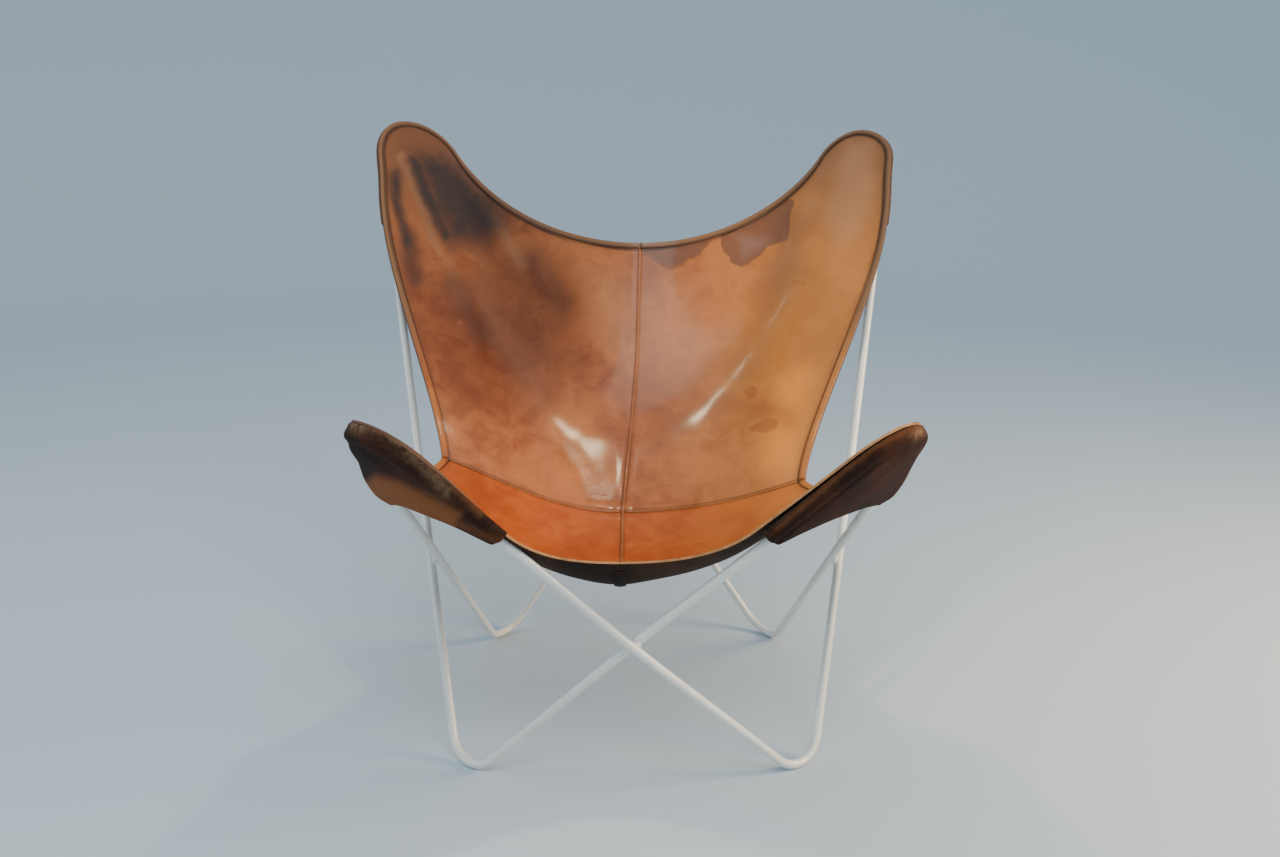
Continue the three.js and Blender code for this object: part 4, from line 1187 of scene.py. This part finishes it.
def build_welts():
    path = centre_path(CENTRE_WELT_ENDS)
    across = [X] * len(path)
    strip_object("centre_seam_welt", "centre_welt",
                 laid(path, across, WELT_OFFSETS, WELT_LIFTS), MAT_WELT)
    offset, lift = CENTRE_THREAD
    for side, word in SIDES:
        welt_thread(f"centre_seam_thread_{word}", path, across, side * offset, lift)
    for side, word in SIDES:
        path = cross_path(side, CROSS_WELT_ENDS)
        above = resample(trim(PANELS["back", side]["grid"][ABOVE_ROW], *CROSS_WELT_ENDS), 1.0)
        last, across = len(path) - 1, []
        for k, p in enumerate(path):
            tangent = unit(path[min(k + 1, last)] - path[max(k - 1, 0)])
            way = above[int(k / last * (len(above) - 1))] - p
            across.append(unit(way - tangent * (way @ tangent)))
        strip_object(f"cross_seam_welt_{word}", f"cross_welt_{word}",
                     laid(path, across, CROSS_OFFSETS, CROSS_LIFTS), MAT_WELT)
        welt_thread(f"cross_seam_thread_{word}", path, across, *CROSS_THREAD)


def build_tapes():
    tapes = [("centre_seam_tape", "centre_tape", centre_path(CENTRE_TAPE_ENDS), X)]
    for side, word in SIDES:
        path = cross_path(side, CROSS_TAPE_ENDS)
        tapes.append((f"cross_seam_tape_{word}", f"cross_tape_{word}", path, TAPE_WAY))
    for name, node, path, way in tapes:
        points = laid(path, [way] * len(path), TAPE_OFFSETS, TAPE_LIFTS)
        strip_object(name, node, points, MAT_TAPE, TAPE_THICKNESS, TAPE_BEVEL)


# Pockets

WEB_STEPS, TURN_STEPS, POCKET_ROWS, POCKET_ACROSS = 9, 7, 72, 36
POCKET_THINNER, POCKET_BEVEL, WEB_GAP = 0.6, 0.7, 1.0
HOLLOW_SHARE, POCKET_END, POCKET_POINTS = 0.55, 20.0, 160
FULL_SAG_WIDTH, FULL_WAVE_WIDTH = 160, 60
POCKET_WAVES = ((46, 1.3, 0), (17, 0.5, 3))
ROW_PASSES, COLUMN_PASSES, STIFF_COLUMNS = 14, 4, 8

# For each pair of pockets: name, node, bend, its edges with their steps beside the rod, sag, seed,
# how far the web swells out and how loosely the turn goes round the rod
POCKETS = (
    ("back_pouch", "back_pocket", "top_bend", (("top", TOP_POCKET_STEPS), ("side", SIDE_STEPS[1])),
     4.0, 4.0, 0.3, 1.0),
    ("seat_pouch", "seat_pocket", "wing_bend", (("rim", RIM_STEPS[1]), ("rear", REAR_STEPS[1])),
     5.0, 11.0, 6.5, 2.5),
)


def pocket_section(bend, point, side, roll, loose):
    """Middle line of a pocket's hide across the rod: a web that swells out a little between the
    panel's edge and the rod, then the turn round the rod, which it may clear by a loose hollow."""
    height = (point - bend["corner"]) @ bend["facing"]
    flat = point - bend["facing"] * height
    direction, beside = rod_way(bend, side)
    distance = (flat - bend["corner"]) @ direction
    on_rod = distance > bend["tangent"]
    out = beside if on_rod else unit(flat - bend["centre"])
    rod = bend["corner"] + direction * distance if on_rod else bend["centre"] + out * bend["radius"]
    start = vec((flat - rod) @ out, height - HALF - WEB_GAP)
    inner = ROD_RADIUS + POCKET_CLEARANCE + HALF + loose
    first = math.atan2(start[1], start[0]) - math.acos(min(inner / math.hypot(*start), 1.0))
    across = vec(math.cos(first), math.sin(first))
    s = np.linspace(0, 1, WEB_STEPS + 1)[:-1, None]
    web = start + (across * inner - start) * s + across * roll * np.sin(math.pi * s)
    a = np.linspace(first, -math.pi / 2, TURN_STEPS + 1)[:, None]
    x, y = np.vstack([web, inner * np.hstack([np.cos(a), np.sin(a)])]).T[..., None]
    return rod + out * x + bend["facing"] * y


def pocket_rows(bend, lines, sag, side, seed, roll, loose):
    """Rows of places across a pocket, from its hollow mouth to its apex."""
    lines = [along(line, lengths(line)[-1] * np.linspace(0, 1, POCKET_ROWS)) for line in lines]
    rows = []
    for k in range(POCKET_ROWS):
        first, last = (pocket_section(bend, line[k], way, roll, loose)
                       for line, way in zip(lines, "AB"))
        pa, pb = first[-1], last[-1]
        width = norm(pb - pa)
        draw = MOUTH_HOLLOW * (1 - smooth(k / (HOLLOW_SHARE * POCKET_ROWS)))
        middle = []
        for s in np.linspace(0, 1, POCKET_ACROSS + 1)[1:-1]:
            p = pa + (pb - pa) * s - bend["bisector"] * draw * 4 * s * (1 - s)
            droop = sag * smooth(width / FULL_SAG_WIDTH) * math.sin(math.pi * s)
            seen = p * vec(side, 1, 1)
            wave = sum(height * field.noise(Vector(seen / size) + Vector((seed, shift, 0)))
                       for size, height, shift in POCKET_WAVES)
            calm = min(1.0, math.sin(math.pi * s) * 2) * smooth(width / FULL_WAVE_WIDTH)
            middle.append(p - bend["facing"] * (droop - wave * calm))
        rows.append([*first, *middle, *last[::-1]])
    rows = np.array(rows)
    for _ in range(ROW_PASSES):
        rows[1:-1, 1:-1] = rows[1:-1, 1:-1] / 2 + (rows[:-2, 1:-1] + rows[2:, 1:-1]) / 4
    for _ in range(COLUMN_PASSES):
        a, b = STIFF_COLUMNS, -STIFF_COLUMNS
        rows[:, a:b] = rows[:, a:b] / 2 + (rows[:, a - 1:b - 1] + rows[:, a + 1:b + 1]) / 4
    return rows


# Where the wings' undersides are worn light and glow warm, in pixels of the photo
WING_MARKS = {
    (-1, "glow"): [
        (AREA, 0.9, 9, 362, 484, 376, 474, 400, 480, 436, 498, 462, 512, 456, 530, 424, 518,
         380, 514),
        (LINE, 0.45, 6, 456, 521, 500, 542, 545, 572),
        (LINE, 0.5, 5, 400, 432, 440, 470, 480, 512),
    ],
    (-1, "worn"): [
        (LINE, 1.0, 8, 358, 426, 368, 421, 384, 428),
        (LINE, 0.7, 8, 384, 428, 404, 446, 428, 468, 446, 490),
    ],
    (1, "glow"): [
        (AREA, 0.06, 9, 842, 470, 880, 470, 860, 500, 830, 513, 790, 540, 760, 552, 790, 520),
        (LINE, 0.4, 3, 922, 424, 878, 446, 845, 471, 817, 495, 776, 530),
    ],
    (1, "worn"): [(LINE, 0.8, 5, 924, 430, 914, 436)],
}


BACK_GLOW, WEB_WORN, WEB_FADE = 0.3, 0.15, 4.5


def build_pocket(name, node, bend_name, lines, sag, seed, roll, loose):
    for side, word in SIDES:
        edges, bend = EDGES[side], EDGES[side][bend_name]
        shares = [1 - (ARC_STEPS + steps) / edges[line].count for line, steps in lines]
        ends = [edges[line].at(np.linspace(share, 1, POCKET_POINTS))
                for (line, _), share in zip(lines, shares)]
        points = pocket_rows(bend, ends, sag, side, seed, roll, loose)
        columns = points.shape[1]
        last = (POCKET_ROWS - 1) * columns
        # the last row is folded shut: its second half meets its first
        merge = {last + columns - 1 - j: last + j for j in range(columns // 2)}
        faces = [tuple(dict.fromkeys(merge.get(i, i) for i in f))
                 for f in grid_faces(POCKET_ROWS, columns)]
        faces = [f for f in faces if len(f) > 2]
        used = sorted({i for f in faces for i in f})
        index = {old: new for new, old in enumerate(used)}
        faces = [tuple(index[i] for i in f) for f in faces]
        across = np.tile(np.arange(columns), POCKET_ROWS)
        web = bell(np.minimum(across, columns - 1 - across), 0, WEB_FADE)[used]
        flat = (points.reshape(-1, 3) * vec(side, 1, 1) + ORIGIN)[used]
        a, b, c = (flat[i] for i in faces[len(faces) // 2][:3])
        if np.cross(b - a, c - a) @ (-bend["facing"] * vec(side, 1, 1)) < 0:
            faces = [f[::-1] for f in faces]
        obj = piece(f"{name}_{word}", flat, faces, [MAT_POCKET, MAT_FLESH, MAT_CUT],
                    f"{node}_{word}")
        glow, worn = np.full(len(flat), BACK_GLOW), web
        if bend_name == "wing_bend":
            glow, worn = (marks(*pixel(flat), WING_MARKS[side, look]) for look in ("glow", "worn"))
            worn = np.maximum(worn, web * WEB_WORN)
        give_attribute(obj, "glow", glow)
        give_attribute(obj, "worn", worn)
        thicken(obj, LEATHER - POCKET_THINNER, POCKET_BEVEL)
        width = lengths(points[0])[-1]
        length = lengths(points[:, columns // 2])[-1] + POCKET_END
        area = sum(norm(np.cross(flat[f[k]] - flat[f[0]], flat[f[k + 1]] - flat[f[0]])) / 2
                   for f in faces for k in range(1, len(f) - 1))


# Studio, in metres

FLOOR_CENTRE, FLOOR_RADIUS, COVE_RADIUS, WALL_HEIGHT = 0.4, 4.2, 1.8, 2.6
COVE_STEPS, FLOOR_SIDES, FLOOR_DROP = 24, 128, 0.0005
FLOOR_COLOR, WORLD_COLOR, WORLD_STRENGTH = (0.54, 0.64, 0.71), (0.78, 0.87, 0.95, 1), 0.80

# Lights: name, place, size, power, colour, and what the light looks at or, for a light that looks
# straight down and that the camera doesn't see, how far it is turned
LIGHTS = (
    ("spark", (0.03, -0.21, 1.3), (0.05, 0.09), 2.9, (1.0, 0.90, 0.62), 0),
    ("low_spark", (0.125, -0.125, 1.3), (0.04, 0.07), 0.5, (1.0, 0.93, 0.68), -30),
    ("front", (0.45, -1.95, 2.5), (1.5, 1.0), 30, (0.93, 0.97, 1.0), (0.05, 0.15, 0.55)),
    ("warm", (2.3, -0.3, 1.2), (0.9, 0.9), 60, (1.0, 0.70, 0.40), (0.2, 0.0, 0.35)),
    ("fill", (-2.6, -0.4, 1.2), (1.0, 1.0), 14, (0.82, 0.92, 1.0), (-0.1, 0.0, 0.4)),
)


def build_stage():
    """Pale round floor that curves up into a wall all round."""
    profile = [(FLOOR_CENTRE, 0.0), (FLOOR_RADIUS, 0.0)]
    profile += [(FLOOR_RADIUS + COVE_RADIUS * math.sin(a), COVE_RADIUS - COVE_RADIUS * math.cos(a))
                for a in np.linspace(0, math.pi / 2, COVE_STEPS)[1:]]
    profile += [(FLOOR_RADIUS + COVE_RADIUS, WALL_HEIGHT)]
    angles = np.linspace(0, 2 * math.pi, FLOOR_SIDES, endpoint=False)
    points = [(r * math.cos(a), r * math.sin(a), z) for r, z in profile for a in angles]
    points.append((0.0, 0.0, 0.0))
    faces = grid_faces(len(profile), FLOOR_SIDES, closed=True)
    faces += [((k + 1) % FLOOR_SIDES, k, len(points) - 1) for k in range(FLOOR_SIDES)]
    t = Tree("pale_floor")
    n = t.noise(2.0, 3, 0.5)
    color = t.mix(t.times(n, 0.15), FLOOR_COLOR, tuple(c * 0.93 for c in FLOOR_COLOR))
    material = t.finish(color, 0.6, t.bump(n, 0.02, 0.01), Specular_IOR_Level=0.3)
    floor = mesh_object("studio_floor", np.array(points), faces, [material])
    floor.location.z = -FLOOR_DROP


def build_light():
    world = bpy.data.worlds.new("studio")
    bpy.context.scene.world = world
    world.use_nodes = True
    background = world.node_tree.nodes["Background"].inputs
    background["Color"].default_value = WORLD_COLOR
    background["Strength"].default_value = WORLD_STRENGTH
    for name, place, size, energy, color, aim in LIGHTS:
        data = bpy.data.lights.new(name, "AREA")
        data.shape = "RECTANGLE"
        data.size, data.size_y = size
        data.energy, data.color = energy, color
        lamp = new_object(name, data)
        lamp.location = place
        if isinstance(aim, tuple):
            lamp.rotation_mode = "QUATERNION"
            lamp.rotation_quaternion = (Vector(aim) - Vector(place)).to_track_quat("-Z", "Y")
        else:
            lamp.rotation_euler = (0, 0, math.radians(aim))
            lamp.visible_camera = False


SENSOR_WIDTH, CLIP_END = 36, 60


def build_camera():
    data = bpy.data.cameras.new("camera")
    data.sensor_width = SENSOR_WIDTH
    data.lens = SENSOR_WIDTH * FOCAL / PHOTO_WIDTH
    data.shift_x = (PHOTO_WIDTH / 2 - PRINCIPAL[0]) / PHOTO_WIDTH
    data.clip_end = CLIP_END
    camera = new_object("camera", data)
    camera.location = tuple(CAMERA / 1000)
    camera.rotation_euler = (math.pi / 2 - PITCH, 0, 0)
    bpy.context.scene.camera = camera


build_camera()
build_frame()
build_panels()
build_bands()
build_welts()
build_tapes()
for pocket in POCKETS:
    build_pocket(*pocket)
build_stage()
build_light()
